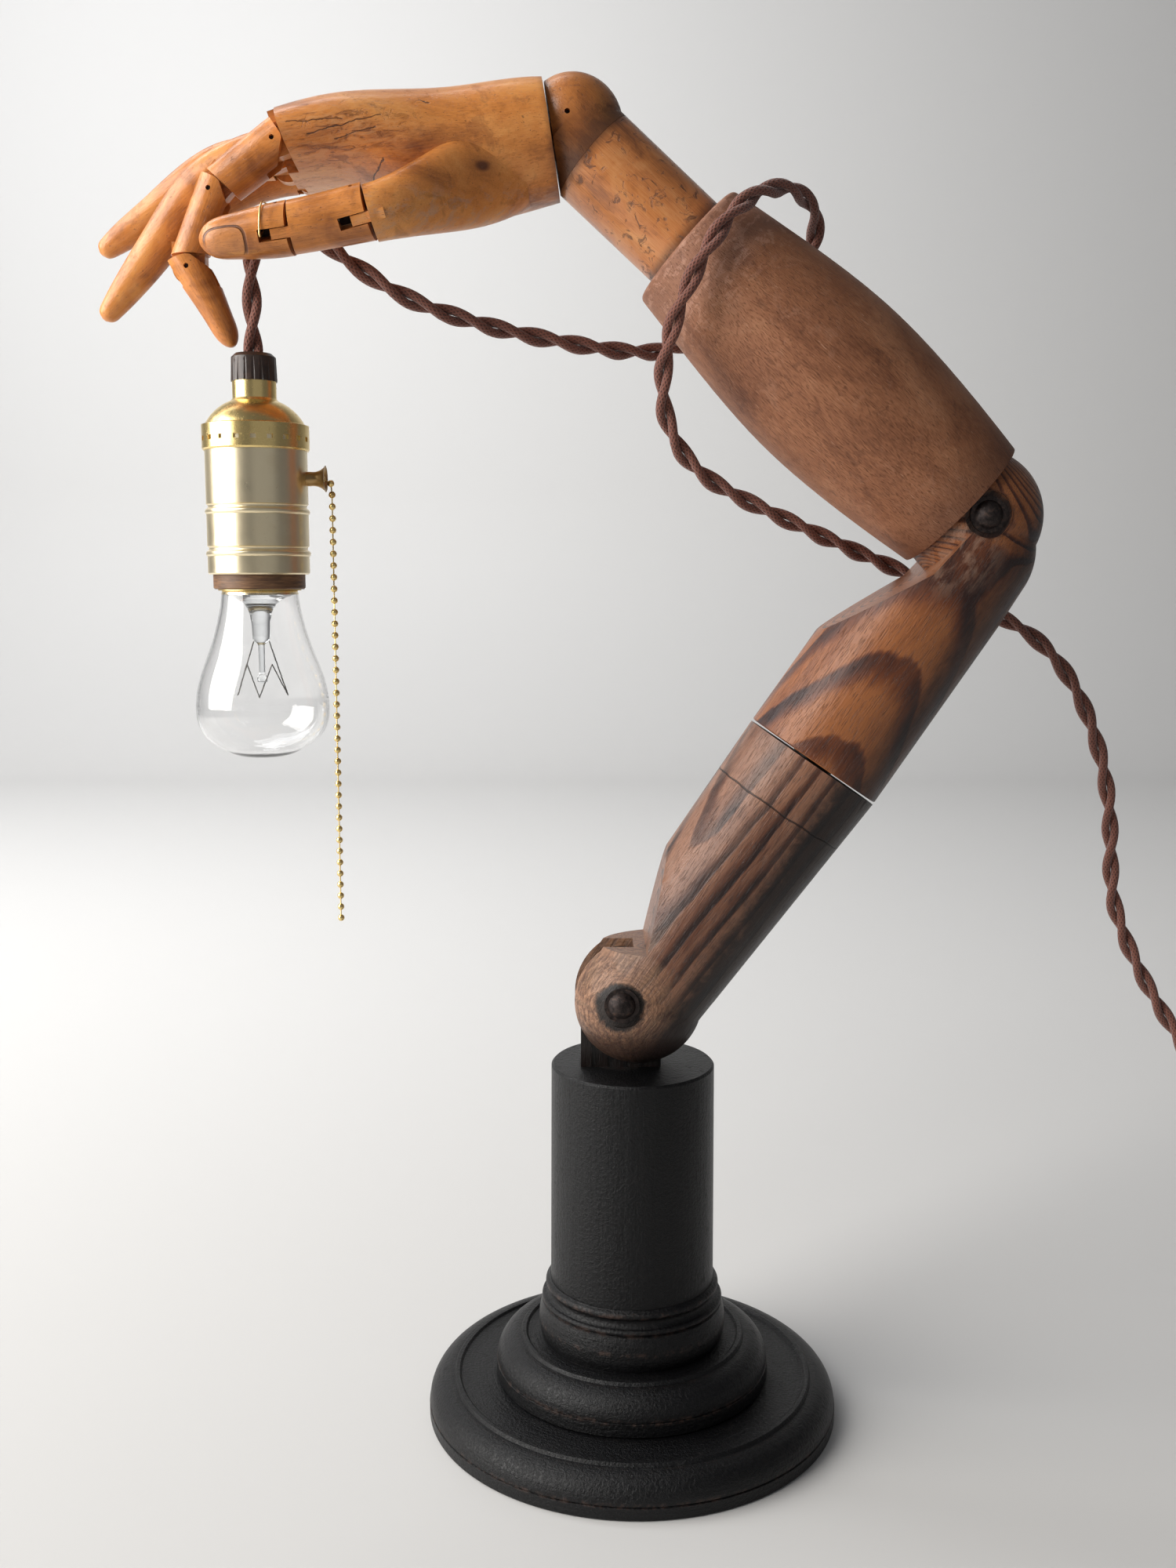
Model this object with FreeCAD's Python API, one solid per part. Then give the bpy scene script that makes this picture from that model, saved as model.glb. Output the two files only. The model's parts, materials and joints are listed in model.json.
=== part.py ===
import FreeCAD, Part

import math
import os

from FreeCAD import Placement, Rotation, Vector

# A desk lamp made from a jointed wooden mannequin's arm. All sizes are millimetres.
# The origin is the middle of the base's underside, +Z is up, +X points from the hand to the elbow
# and +Y away from the thumb. The arm stands in the plane Y = 0.

# ---- base -------------------------------------------------------------------------------------
disc_radius = 75.8
disc_lip = 4.6          # height of the plain edge below the round moulding
disc_top = 14.2
disc_ledge_radius = 66.0
step_radius = 50.6
step_lip = 5.2
step_height = 14.8
step_ledge_radius = 41.0
ledge_rise = 0.8        # how far a ledge stands over the flat inside it
ledge_width = 1.4
groove_depth = 0.7      # line cut between a lip and its moulding
neck_radius = 33.6
neck_bulge = 1.0
neck_height = 22.0
bead_radius = 31.6
column_foot_radius = 30.2
column_top_radius = 29.8
column_height = 81.8
column_chamfer = 0.8

# ---- clearances and joint hardware ---------------------------------------------------------------
turn_gap = 0.9          # between the two halves of the upper arm
hinge_clearance = 0.06  # radial, round a pin or dowel that turns
cheek_clearance = 0.3   # on each side of a tongue
swing_clearance = 0.6   # between the elbow's ball and its cup
bolt_radius = 3.0
bolt_head_radius = 4.8
bolt_head_height = 2.8
washer_radius = 6.2
washer_thickness = 0.9
bolt_recess_radius = 8.0
nut_radius = 6.4
nut_height = 3.2
dowel_radius = 8.0
dowel_depth = 24.0      # in each half of the upper arm
tenon_radius = 10.0     # of the shoulder's tongue, in the column
tenon_depth = 30.0
tongue_thickness = 13.0
tongue_radius = 14.5
tongue_web = 2.2        # between a tongue's end and the bottom of its fork

# ---- upper arm -----------------------------------------------------------------------------------
shoulder_x, shoulder_z = -4.5, 160.0
shoulder_ball_x, shoulder_ball_z = 1.8, 157.4
shoulder_ball_radius = 24.0
shoulder_flat_z = 177.4  # worn flat on top of the fork
shoulder_lean = 15.0     # degrees that the fork may lean towards the column
turn_x, turn_z = 63.9, 243.7
turn_heading = 55.6      # degrees above +X
arm_radius = 26.2
arm_foot_radius = 22.7
arm_neck_radius = 25.7
arm_neck_start = 75.0
arm_round_start = 92.0
arm_round_radius = 25.0
arm_length = 115.4
elbow_x, elbow_z = 118.2, 329.8
elbow_ball_radius = 24.0
facet_slope = 22.0       # of the lower half's flat, to its axis
elbow_facet_slope = 26.7
elbow_facet_start = 41.0
elbow_facet_height = 24.7

# ---- forearm and wrist ----------------------------------------------------------------------------
forearm_heading = 137.7  # degrees above +X, elbow to wrist
elbow_to_sleeve = 6.5    # from the elbow's bolt to the sleeve's end
# The sleeve's outline, as shares of its length up to its rounded edge, and radii.
sleeve_radii = ((0.0, 26.0), (0.2715, 30.1), (0.5055, 31.2), (0.7395, 28.5), (1.0, 23.5))
sleeve_edge = 1.6        # length of the rounded edge at the wrist's end
sleeve_edge_drop = 2.0
elbow_tongue_length = 58.0
shaft_radius = 16.75
shaft_depth = 38.0       # in the sleeve
shaft_reach = 43.7       # out of the sleeve, to the rim of its dome
shaft_edge = 0.5         # rounding of its rim
dome_height = 5.3
shaft_tenon_radius = 4.2
shaft_tenon_length = 8.0
knuckle_x, knuckle_z = -21.5, 460.4
knuckle_seat = 5.92      # from the shaft's dome to the knuckle's middle
knuckle_radius = 17.0
hand_heading = 188.9
palm_face_x, palm_face_z = -28.4, 455.7
hand_tenon_radius = 6.5  # on the knuckle, turns in the palm
hand_tenon_length = 15.0
palm_gap = 0.6           # between the knuckle and the palm
wrist_pin_x, wrist_pin_z = -23.2, 460.6
wrist_pin_radius = 0.9
pin_recess = 1.2

# ---- fingers and thumb -----------------------------------------------------------------------------
finger_pin_radius = 0.8
finger_gap = 0.35        # between two phalanges
finger_tongue_share = 0.36
finger_bevels = (-16.0, 0, 34.0)  # degrees, let a finger open and close
knuckle_reach = 4.3      # from a joint's face to its pin
index_y = -21.5
finger_pitch = 14.6
finger_side = 6.8        # half the width of a finger
finger_tongue = 5.4      # radius of a knuckle's tongue
knuckle_pin_half = 5.6   # half lengths of the fingers' pins
middle_pin_half = 5.4
tip_pin_half = 5.0
tongue_root = 4.0        # of a tongue, in its own piece
thumb_y = -36.0
thumb_pin_halves = (7.6, 7.2)  # half lengths of the thumb's pins
heel_trim_z = 438.5      # the heel is cut flat for the thumb below this
thumb_roll = -25.0       # degrees, the thumb's joints are turned about its length
thumb_tongue = 3.2       # thickness of a tongue
thumb_tongue_end = 2.7   # past its pin
thumb_tongue_root = 4.8
thumb_tongue_inset = 0.35
thumb_slot_depth = 6.7   # past the thumb's pin
thumb_bevels = (-7.0, 0, 3.0)  # degrees, let it open and close
thumb_facings = (195.5, 188.0)
wire_radius = 0.3
wire_x = -119.7

# ---- lamp -------------------------------------------------------------------------------------------
lamp_x, lamp_y = -127.0, -23.6
grip_top = 382.0
grip_radius = 7.6
grip_height = 9.0
grip_flutes = 18
grip_flute = 0.7         # radius of a flute
cap_neck_radius = 7.2
cap_neck_height = 6.3
dome_base_radius = 16.3
dome_drop = 7.6
ring_radius = 17.6
ring_height = 8.6
ring_slots = 20
shell_radius = 16.8
shell_bottom = 309.8
sheet = 0.7
roll_heights = (331.4, 317.6)
rim_radius = 15.2
rim_bottom = 304.9
screw_radius = 13.7
bulb_cap_radius = 13.0
bulb_cap_bottom = 303.2
bulb_cap_height = 26.4
bulb_radius = 22.25
bulb_middle = 265.8
bulb_bottom = 248.2
bulb_thread_count = 6
glass_wall = 0.8
guide_z = 341.4
chain_drop = 5.2         # from the guide's middle to the first hanging ball
guide_mouth_radius = 4.4
guide_bore = 1.7
guide_reach = 6.2        # past the shell
bead_diameter = 2.35
bead_pitch = 3.9
chain_beads = 38
chain_x = -102.0

# ---- cord -----------------------------------------------------------------------------------------
cord_radius = 3.25
coil_x, coil_y = 296.0, -6.0
coil_turn_radius = 36.0
coil_turns = 3.5
coil_pitch = 6.7
coil_end_length = 22.0  # from the coil's lowest turn to the plug
plug_length = 26.0
plug_width = 24.0
plug_height = 13.0
relief_length = 12.0
blade_length = 15.5
blade_spacing = 12.7
blade_width = 6.3
blade_thickness = 1.5

# The cord's route from the lamp to the coil. It hangs from the thumb, winds once round the forearm,
# passes behind the elbow and falls to the table.
cord_route = (
    (-127.0, -23.6, 382.0), (-127.0, -23.6, 416.8), (-120.6, -23.6, 424.2), (-110.9, -23.6, 425.0),
    (-99.5, -23.4, 414.9), (-86.5, -22.4, 405.8), (-73.5, -18.4, 399.0), (-57.0, -10.6, 394.8),
    (-42.5, -2.4, 392.2), (-25.0, 6.4, 390.2), (-7.5, 15.5, 388.6), (9.5, 27.0, 389.4),
    (27.0, 35.5, 396.5), (46.0, 37.0, 407.0), (62.0, 32.5, 420.5), (66.0, 20.5, 433.5),
    (57.0, 3.5, 440.5), (43.0, -14.0, 437.5), (30.5, -27.0, 427.0), (20.0, -31.5, 411.0),
    (11.5, -29.0, 392.5), (8.0, -20.5, 376.5), (9.5, -14.0, 361.0), (18.5, -7.0, 347.0),
    (32.0, 0.0, 338.6), (49.5, 6.0, 331.0), (67.5, 13.5, 323.6), (86.0, 23.5, 316.4),
    (104.5, 30.8, 309.4), (123.0, 33.2, 301.4), (139.5, 32.0, 293.6), (151.5, 32.0, 286.6),
    (162.5, 33.0, 275.4), (171.5, 34.5, 261.0), (178.5, 36.0, 243.5), (183.2, 37.0, 225.5),
    (185.0, 37.6, 206.0), (186.0, 38.0, 187.0), (193.0, 38.0, 167.5), (203.0, 37.5, 148.5),
    (214.5, 36.5, 130.5), (226.5, 35.5, 109.0), (237.0, 34.5, 84.5), (247.5, 33.0, 59.5),
    (262.0, 31.0, 39.5), (279.0, 30.0, 29.5), (296.0, 30.0, 26.75),
)
# Each piece of cord starts and ends halfway along one of these runs, and bends at one joint.
cord_breaks = {
    "cord_drop": (0, 0), "cord_hold": (0, 4), "cord_thumb": (4, 5), "cord_palm": (5, 7),
    "cord_wrist": (7, 9), "cord_wrap": (9, 22), "cord_elbow": (22, 30), "cord_turn": (30, 33),
    "cord_lean": (33, 42), "cord_tail": (42, 45),
}
lamp_hang_z = 408.0     # height of the point that the lamp swings about

# ---- sizes that follow ---------------------------------------------------------------------------
step_top = disc_top + step_height
neck_top = step_top + neck_height
column_top = neck_top + column_height
forearm_turn = math.radians(forearm_heading)
wrist_reach = (knuckle_x - elbow_x) * math.cos(forearm_turn)
wrist_reach += (knuckle_z - elbow_z) * math.sin(forearm_turn)
forearm_length = wrist_reach - knuckle_seat - dome_height - shaft_reach - elbow_to_sleeve
slot_end = tongue_radius + tongue_web
slot_width = tongue_thickness + 2 * cheek_clearance
tongue_width = 2 * finger_side * finger_tongue_share
chain_top = guide_z - chain_drop


def at(x, z, y=0.0):
    return Vector(x, y, z)


def heading(degrees):
    """Direction in the arm's plane, in degrees above +X."""
    return Vector(math.cos(math.radians(degrees)), 0, math.sin(math.radians(degrees)))


def outline(*steps):
    """Face in the XY plane. Each step is a corner, or a pair of arc middle and arc end."""
    edges = []
    first = here = Vector(*steps[0])
    for step in steps[1:]:
        if isinstance(step[0], tuple):
            middle, end = Vector(*step[0]), Vector(*step[1])
            edges.append(Part.Arc(here, middle, end).toShape())
        else:
            end = Vector(*step)
            edges.append(Part.LineSegment(here, end).toShape())
        here = end
    if (here - first).Length > 1e-6:
        edges.append(Part.LineSegment(here, first).toShape())
    return Part.Face(Part.Wire(edges))


def turned(face, origin, direction):
    """Solid of revolution. The face's X runs along direction from origin, its Y is the radius."""
    solid = face.revolve(Vector(0, 0, 0), Vector(1, 0, 0), 360)
    solid.Placement = Placement(origin, Rotation(Vector(1, 0, 0), direction))
    return solid


def rod(start, direction, length, radius):
    return Part.makeCylinder(radius, length, start, direction)


def crosswise(middle, radius, half_length, axis=Vector(0, 1, 0)):
    """Cylinder along axis, centred on middle."""
    return Part.makeCylinder(radius, 2 * half_length, middle - axis * half_length, axis)


def ball(middle, radius):
    return Part.makeSphere(radius, middle)


def half_space(point, direction, size=220.0):
    """Block that fills everything past a plane through point."""
    block = Part.makeBox(size, size, size, Vector(0, -size / 2, -size / 2))
    block.Placement = Placement(point, Rotation(Vector(1, 0, 0), direction))
    return block


def plate(point, forward, axis, back, ahead, half_height, thickness):
    """Plate across axis, from back behind point to ahead of it along forward."""
    corner = Vector(-back, -half_height, -thickness / 2)
    block = Part.makeBox(back + ahead, 2 * half_height, thickness, corner)
    block.Placement = Placement(point, Rotation(forward, axis.cross(forward), axis, "ZXY"))
    return block


def prism(corners, half_depth):
    """Solid from a polygon in the arm's plane, centred on Y = 0."""
    points = [at(x, z, -half_depth) for x, z in corners]
    return Part.Face(Part.makePolygon(points + points[:1])).extrude(Vector(0, 2 * half_depth, 0))


def ellipse(middle, up, side):
    """Elliptic wire whose half axes are the two vectors. It starts at the end of up."""
    curve = Part.Circle(Vector(0, 0, 0), Vector(0, 0, 1), 1.0).toBSpline()
    for i, pole in enumerate(curve.getPoles(), 1):
        curve.setPole(i, middle + up * pole.x + side * pole.y)
    return Part.Wire(curve.toShape())


def smooth_loft(rings):
    """Solid through closed wires. The third degree keeps it from swinging out between them."""
    return Part.makeLoft(rings, True, False, False, 3)


def limb(stations, y, tip=0.0):
    """Loft through ellipses along a line in the plane of y. A station is x, z, half height and half width.
    A tip longer than 0 rounds the far end off."""
    middles = [at(x, z, y) for x, z, up, side in stations]
    rings = []
    for i, (x, z, up, side) in enumerate(stations):
        ahead = (middles[min(i + 1, len(middles) - 1)] - middles[max(i - 1, 0)]).normalize()
        across = ahead.cross(Vector(0, 1, 0)).normalize()
        rings.append(ellipse(middles[i], across * up, Vector(0, side, 0)))
    if tip:
        for degrees in (30, 60, 80):
            share = math.cos(math.radians(degrees))
            middle = middles[-1] + ahead * tip * math.sin(math.radians(degrees))
            rings.append(ellipse(middle, across * up * share, Vector(0, side * share, 0)))
    return smooth_loft(rings)


def dome(along, radius, rise):
    """Arc step from a rim to the axis of a turned piece, for a spherical end."""
    sphere = (radius ** 2 + rise ** 2) / (2 * rise)
    half_angle = math.asin(radius / sphere) / 2
    middle = (along + rise - sphere + sphere * math.cos(half_angle), sphere * math.sin(half_angle))
    return middle, (along + rise, 0)


def tongue(joint, root, radius, thickness):
    """Rounded tongue that leaves a joint's face, with a root inside its own piece."""
    body = plate(joint.pin, joint.facing, joint.axis, joint.reach + root, 0, radius, thickness)
    body = body.fuse(crosswise(joint.pin, radius, thickness / 2, joint.axis)).removeSplitter()
    return body.cut(crosswise(joint.pin, finger_pin_radius + hinge_clearance, thickness, joint.axis))


def flush_tongue(joint, stations):
    """Square-ended tongue of the thumb, a little inside the skin of the next piece's limb."""
    inset = thumb_tongue_inset
    skin = limb([(x, z, up - inset, side - inset) for x, z, up, side in stations], thumb_y)
    back = joint.reach + thumb_tongue_root
    body = plate(joint.pin, joint.facing, joint.axis, back, thumb_tongue_end, 15, thumb_tongue)
    return body.common(skin).cut(crosswise(joint.pin, finger_pin_radius + hinge_clearance, 15, joint.axis))


def fork_end(piece, joint, thickness, depth, bevels):
    """Bevelled end with an open slot for the tongue and a hole for the pin."""
    for turn in bevels:
        away = Rotation(joint.axis, turn).multVec(joint.facing)
        piece = piece.cut(half_space(joint.pin - away * (joint.reach - finger_gap), away * -1))
    width = thickness + 2 * cheek_clearance
    slot = plate(joint.pin, joint.facing, joint.axis, joint.reach + 10, depth, 20, width)
    return piece.cut(slot).cut(crosswise(joint.pin, finger_pin_radius, 20, joint.axis))


def faced(piece, joint):
    """Piece with its far end cut flat before the next joint's pin."""
    return piece.cut(half_space(joint.pin - joint.facing * joint.reach, joint.facing))


def cord_path():
    """Straight runs joined by arcs. Returns the bends, as start, middle, end and radius."""
    corners = [Vector(*p) for p in cord_route]
    runs = [(b - a).Length for a, b in zip(corners, corners[1:])]
    bends = [(corners[0], corners[0], corners[0], 0.0)]
    for i in range(1, len(corners) - 1):
        back = (corners[i - 1] - corners[i]).normalize()
        on = (corners[i + 1] - corners[i]).normalize()
        cut = 0.45 * min(runs[i - 1], runs[i])
        half_turn = (math.pi - back.getAngle(on)) / 2
        radius = cut / math.tan(half_turn)
        centre = corners[i] + (back + on).normalize() * (radius / math.cos(half_turn))
        middle = centre + (corners[i] - centre).normalize() * radius
        bends.append((corners[i] + back * cut, middle, corners[i] + on * cut, radius))
    bends.append((corners[-1], corners[-1], corners[-1], 0.0))
    return bends


def cord_tube(bends, first_run, last_run):
    """One piece of cord, from within its first run to within its last one."""
    hang = Vector(lamp_x, lamp_y, lamp_hang_z)
    last = len(bends) - 2
    start = (bends[first_run][2] + bends[first_run + 1][0]) * 0.5 if first_run else hang
    end = (bends[last_run][2] + bends[last_run + 1][0]) * 0.5 if last_run < last else bends[-1][0]
    if last_run == 0:
        start, end = bends[0][0], hang
    edges = []
    here = start
    for enter, middle, leave, radius in bends[first_run + 1 : last_run + 1]:
        edges.append(Part.LineSegment(here, enter).toShape())
        edges.append(Part.Arc(enter, middle, leave).toShape())
        here = leave
    edges.append(Part.LineSegment(here, end).toShape())
    path = Part.Wire(edges)
    way = edges[0].tangentAt(edges[0].FirstParameter)
    profile = Part.Wire(Part.makeCircle(cord_radius, start, way))
    tube = path.makePipeShell([profile], True, False)
    share = tube.Volume / (math.pi * cord_radius ** 2 * path.Length)
    return tube, path.Length, share


# ---- base ------------------------------------------------------------------------------------------


def moulded_disc(bottom, radius, lip, top, ledge_radius):
    """Turned disc: a plain lip, a grooved line, a quarter round and a raised ledge round a flat."""
    ledge = top + ledge_rise
    shoulder = bottom + lip + 0.6
    rise = ledge - 1.1 - shoulder
    run = radius - 0.2 - (ledge_radius + ledge_rise)
    bend = math.sqrt(0.5)
    middle = (shoulder + rise * bend, ledge_radius + ledge_rise + run * bend)
    return turned(
        outline(
            (bottom, 0), (bottom, radius - 0.6), (bottom + 0.6, radius), (bottom + lip, radius),
            (bottom + lip + 0.3, radius - groove_depth), (shoulder, radius - 0.2),
            (middle, (ledge - 1.1, ledge_radius + ledge_rise)),
            (ledge, ledge_radius), (ledge, ledge_radius - ledge_width),
            (top, ledge_radius - ledge_width - 0.8), (top, 0),
        ),
        Vector(0, 0, 0), Vector(0, 0, 1),
    )


def base_disc():
    return moulded_disc(0.0, disc_radius, disc_lip, disc_top, disc_ledge_radius)


def base_step():
    """Upper disc with the moulded neck below the column."""
    disc = moulded_disc(disc_top, step_radius, step_lip, step_top, step_ledge_radius)
    low, high = step_top, neck_top
    waist = high - 9.0
    neck = turned(
        outline(
            (low, 0), (low, neck_radius),
            ((low + 6.5, neck_radius + neck_bulge), (waist, neck_radius - 0.2)),
            (waist + 0.5, neck_radius - 1.0),
            ((waist + 1.6, neck_radius - 0.1), (waist + 2.7, neck_radius - 1.3)),
            ((waist + 4.4, bead_radius - 0.6), (waist + 6.0, bead_radius)),
            ((waist + 7.2, bead_radius + 0.5), (waist + 8.4, bead_radius - 0.4)),
            (high, column_foot_radius + 0.2), (high, 0),
        ),
        Vector(0, 0, 0), Vector(0, 0, 1),
    )
    return disc.fuse(neck)


def column():
    post = turned(
        outline(
            (neck_top, 0), (neck_top, column_foot_radius), (column_top - column_chamfer, column_top_radius),
            (column_top, column_top_radius - column_chamfer), (column_top, 0),
        ),
        Vector(0, 0, 0), Vector(0, 0, 1),
    )
    return post.cut(shoulder_tenon(tenon_depth + 1))


def shoulder_tenon(length):
    return rod(at(shoulder_x, column_top - tenon_depth), Vector(0, 0, 1), length, tenon_radius)


def shoulder_tongue():
    """Tongue that stands in the column on a round tenon."""
    pivot = at(shoulder_x, shoulder_z)
    height = shoulder_z - column_top
    blade = plate(pivot, Vector(0, 0, 1), Vector(0, 1, 0), height, 0, tongue_radius, tongue_thickness)
    blade = blade.fuse(crosswise(pivot, tongue_radius, tongue_thickness / 2))
    blade = blade.fuse(shoulder_tenon(tenon_depth))
    return blade.removeSplitter().cut(crosswise(pivot, bolt_radius + hinge_clearance, 20))


# ---- upper arm -------------------------------------------------------------------------------------

turn_middle = at(turn_x, turn_z)
turn_axis = heading(turn_heading)
shoulder_ball = at(shoulder_ball_x, shoulder_ball_z)
shoulder = at(shoulder_x, shoulder_z)
elbow = at(elbow_x, elbow_z)
head_seat = shoulder_ball_radius - 2.4  # depth of both bolts' heads, from the arm's plane


def bolt(middle):
    """Domed head on a round washer, facing the thumb's side, with a plain shank."""
    seat = Vector(middle.x, -head_seat, middle.z)
    return turned(
        outline(
            (-2 * head_seat - nut_height, 0), (-2 * head_seat - nut_height, bolt_radius), (0, bolt_radius),
            (0, washer_radius), (washer_thickness, washer_radius), (washer_thickness, bolt_head_radius),
            dome(washer_thickness, bolt_head_radius, bolt_head_height),
        ),
        seat, Vector(0, -1, 0),
    )


def nut(middle):
    """Six-sided nut at the back of a bolt."""
    seat = middle + Vector(0, head_seat, 0)
    corners = [seat + heading(turn) * nut_radius for turn in range(0, 360, 60)]
    body = Part.Face(Part.makePolygon(corners + corners[:1])).extrude(Vector(0, nut_height, 0))
    return body.cut(crosswise(middle, bolt_radius, 60))


def bolt_holes(middle):
    holes = crosswise(middle, bolt_radius, 40)
    for side in (-1, 1):
        start = Vector(middle.x, side * head_seat, middle.z)
        holes = holes.fuse(rod(start, Vector(0, side, 0), 12, bolt_recess_radius))
    return holes


def lower_arm():
    """Lower half of the upper arm, from the swivel down to the shoulder's ball-shaped fork."""
    along = turn_middle - shoulder_ball
    length = along.Length
    axis = along.normalize()
    body = turned(
        outline(
            (0, 0), (0, arm_foot_radius), (length, arm_radius),
            (length + 4, arm_radius), (length + 4, 0),
        ),
        shoulder_ball, axis,
    )
    body = body.fuse(ball(shoulder_ball, shoulder_ball_radius))
    body = body.cut(half_space(turn_middle - turn_axis * (turn_gap / 2), turn_axis))
    facet = heading(turn_heading + facet_slope)
    foot = at(shoulder_ball_x + 2.5, shoulder_flat_z)
    head = foot + facet * 70
    notch = prism(((foot.x, foot.z), (head.x, head.z), (-70, head.z), (-70, foot.z)), 50)
    body = body.cut(notch)
    body = body.cut(plate(shoulder, axis, Vector(0, 1, 0), 60, slot_end, 60, slot_width))
    for lean in (shoulder_lean / 3, 2 * shoulder_lean / 3, shoulder_lean):
        down = heading(lean - 90)
        body = body.cut(half_space(shoulder + down * (shoulder_z - column_top - 0.5), down))
    body = body.cut(bolt_holes(shoulder))
    return body.cut(rod(turn_middle - turn_axis * dowel_depth, turn_axis, dowel_depth + 5, dowel_radius))


def arm_dowel():
    length = 2 * dowel_depth - 2
    return rod(turn_middle - turn_axis * dowel_depth, turn_axis, length, dowel_radius)


def upper_arm():
    """Upper half of the upper arm, with the elbow's ball-shaped fork."""
    body = turned(
        outline(
            (turn_gap / 2, 0), (turn_gap / 2, arm_radius - 0.4), (turn_gap / 2 + 0.4, arm_radius),
            (arm_neck_start, arm_neck_radius), (arm_round_start, arm_round_radius),
            dome(arm_round_start, arm_round_radius, arm_length - arm_round_start),
        ),
        turn_middle, turn_axis,
    )
    body = body.fuse(ball(elbow, elbow_ball_radius))
    across = turn_axis.cross(Vector(0, 1, 0))
    facet_in = turn_middle + turn_axis * elbow_facet_start + across * elbow_facet_height
    slope = heading(turn_heading - elbow_facet_slope)
    facet_out = facet_in - slope * 25
    facet_end = facet_in + slope * 38
    rim = [elbow + heading(turn_heading + a) * 90 for a in (-30, 20, 70, 120)]
    corners = [elbow] + rim + [facet_out, facet_end]
    swept = prism([(c.x, c.z) for c in corners], 50).cut(ball(elbow, elbow_ball_radius + 0.2))
    body = body.cut(swept)
    body = body.cut(plate(elbow, turn_axis, Vector(0, 1, 0), slot_end, 60, 60, slot_width))
    body = body.cut(bolt_holes(elbow))
    return body.cut(rod(turn_middle, turn_axis, dowel_depth, dowel_radius + hinge_clearance))


# ---- forearm ----------------------------------------------------------------------------------------

wrist_way = heading(forearm_heading)
sleeve_start = elbow + wrist_way * elbow_to_sleeve
sleeve_end = sleeve_start + wrist_way * forearm_length
dome_radius = ((shaft_radius - shaft_edge) ** 2 + dome_height ** 2) / (2 * dome_height)
dome_top = sleeve_end + wrist_way * (shaft_reach + dome_height)
dome_middle = dome_top - wrist_way * dome_radius


def forearm():
    """Turned sleeve that swells in the middle, with a cup for the elbow and a bore for the shaft."""
    curve = Part.BSplineCurve()
    body_length = forearm_length - sleeve_edge
    curve.interpolate([Vector(share * body_length, radius, 0) for share, radius in sleeve_radii])
    first, rim = sleeve_radii[0][1], sleeve_radii[-1][1]
    last, low = forearm_length, rim - sleeve_edge_drop
    bend = Vector(last - 0.28 * sleeve_edge, rim - 0.3 * sleeve_edge_drop, 0)
    edges = [
        Part.LineSegment(Vector(0, 0, 0), Vector(0, first, 0)).toShape(),
        curve.toShape(),
        Part.Arc(Vector(body_length, rim, 0), bend, Vector(last, low, 0)).toShape(),
        Part.LineSegment(Vector(last, low, 0), Vector(last, 0, 0)).toShape(),
        Part.LineSegment(Vector(last, 0, 0), Vector(0, 0, 0)).toShape(),
    ]
    body = turned(Part.Face(Part.Wire(edges)), sleeve_start, wrist_way)
    body = body.cut(ball(elbow, elbow_ball_radius + swing_clearance))
    body = body.cut(elbow_blade())
    bottom = sleeve_end - wrist_way * (shaft_depth + 0.5)
    return body.cut(rod(bottom, wrist_way, shaft_depth + 1, shaft_radius + hinge_clearance))


def elbow_blade():
    way, axis = wrist_way, Vector(0, 1, 0)
    return plate(elbow, way, axis, 0, elbow_tongue_length, tongue_radius, tongue_thickness)


def elbow_tongue():
    blade = elbow_blade().fuse(crosswise(elbow, tongue_radius, tongue_thickness / 2)).removeSplitter()
    return blade.cut(crosswise(elbow, bolt_radius + hinge_clearance, 20))


def wrist_shaft():
    """Round shaft that turns in the sleeve, with a domed end and a tenon for the wrist."""
    rim = shaft_reach
    body = turned(
        outline(
            (-shaft_depth, 0), (-shaft_depth, shaft_radius), (rim - shaft_edge, shaft_radius),
            (rim, shaft_radius - shaft_edge), dome(rim, shaft_radius - shaft_edge, dome_height),
        ),
        sleeve_end, wrist_way,
    )
    body = body.fuse(rod(dome_top - wrist_way, wrist_way, shaft_tenon_length + 1, shaft_tenon_radius))
    return body.cut(crosswise(at(wrist_pin_x, wrist_pin_z), wrist_pin_radius, 40))


# ---- hand ------------------------------------------------------------------------------------------

hand_way = heading(hand_heading)
knuckle_middle = at(knuckle_x, knuckle_z)
palm_face = at(palm_face_x, palm_face_z)
wrist_pin_middle = at(wrist_pin_x, wrist_pin_z)


def wrist_knuckle():
    """Block that sits on the shaft's dome, with the tenon that the palm turns on."""
    start = sleeve_end + wrist_way * (shaft_reach - 2)
    body = rod(start, wrist_way, 13, shaft_radius).fuse(ball(knuckle_middle, knuckle_radius))
    body = body.cut(ball(dome_middle, dome_radius)).cut(half_space(palm_face, hand_way))
    body = body.fuse(rod(palm_face - hand_way, hand_way, hand_tenon_length + 1, hand_tenon_radius))
    body = body.cut(rod(dome_top - wrist_way, wrist_way, shaft_tenon_length + 1, shaft_tenon_radius))
    return body.cut(crosswise(wrist_pin_middle, wrist_pin_radius, 40))


def wrist_pin():
    return crosswise(wrist_pin_middle, wrist_pin_radius, knuckle_radius - 2 * pin_recess)


class Joint:
    """A finger's joint: where its pin is and which way its face looks."""

    def __init__(self, x, z, facing, y, axis=None, reach=knuckle_reach):
        self.pin = at(x, z, y)
        self.facing = heading(facing)
        self.axis = axis or Vector(0, 1, 0)
        self.reach = reach


def thumb_axis(facing):
    """Axis of a thumb's joint, across its length and rolled about it."""
    return Rotation(heading(facing), thumb_roll).multVec(heading(facing - 90))


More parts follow.
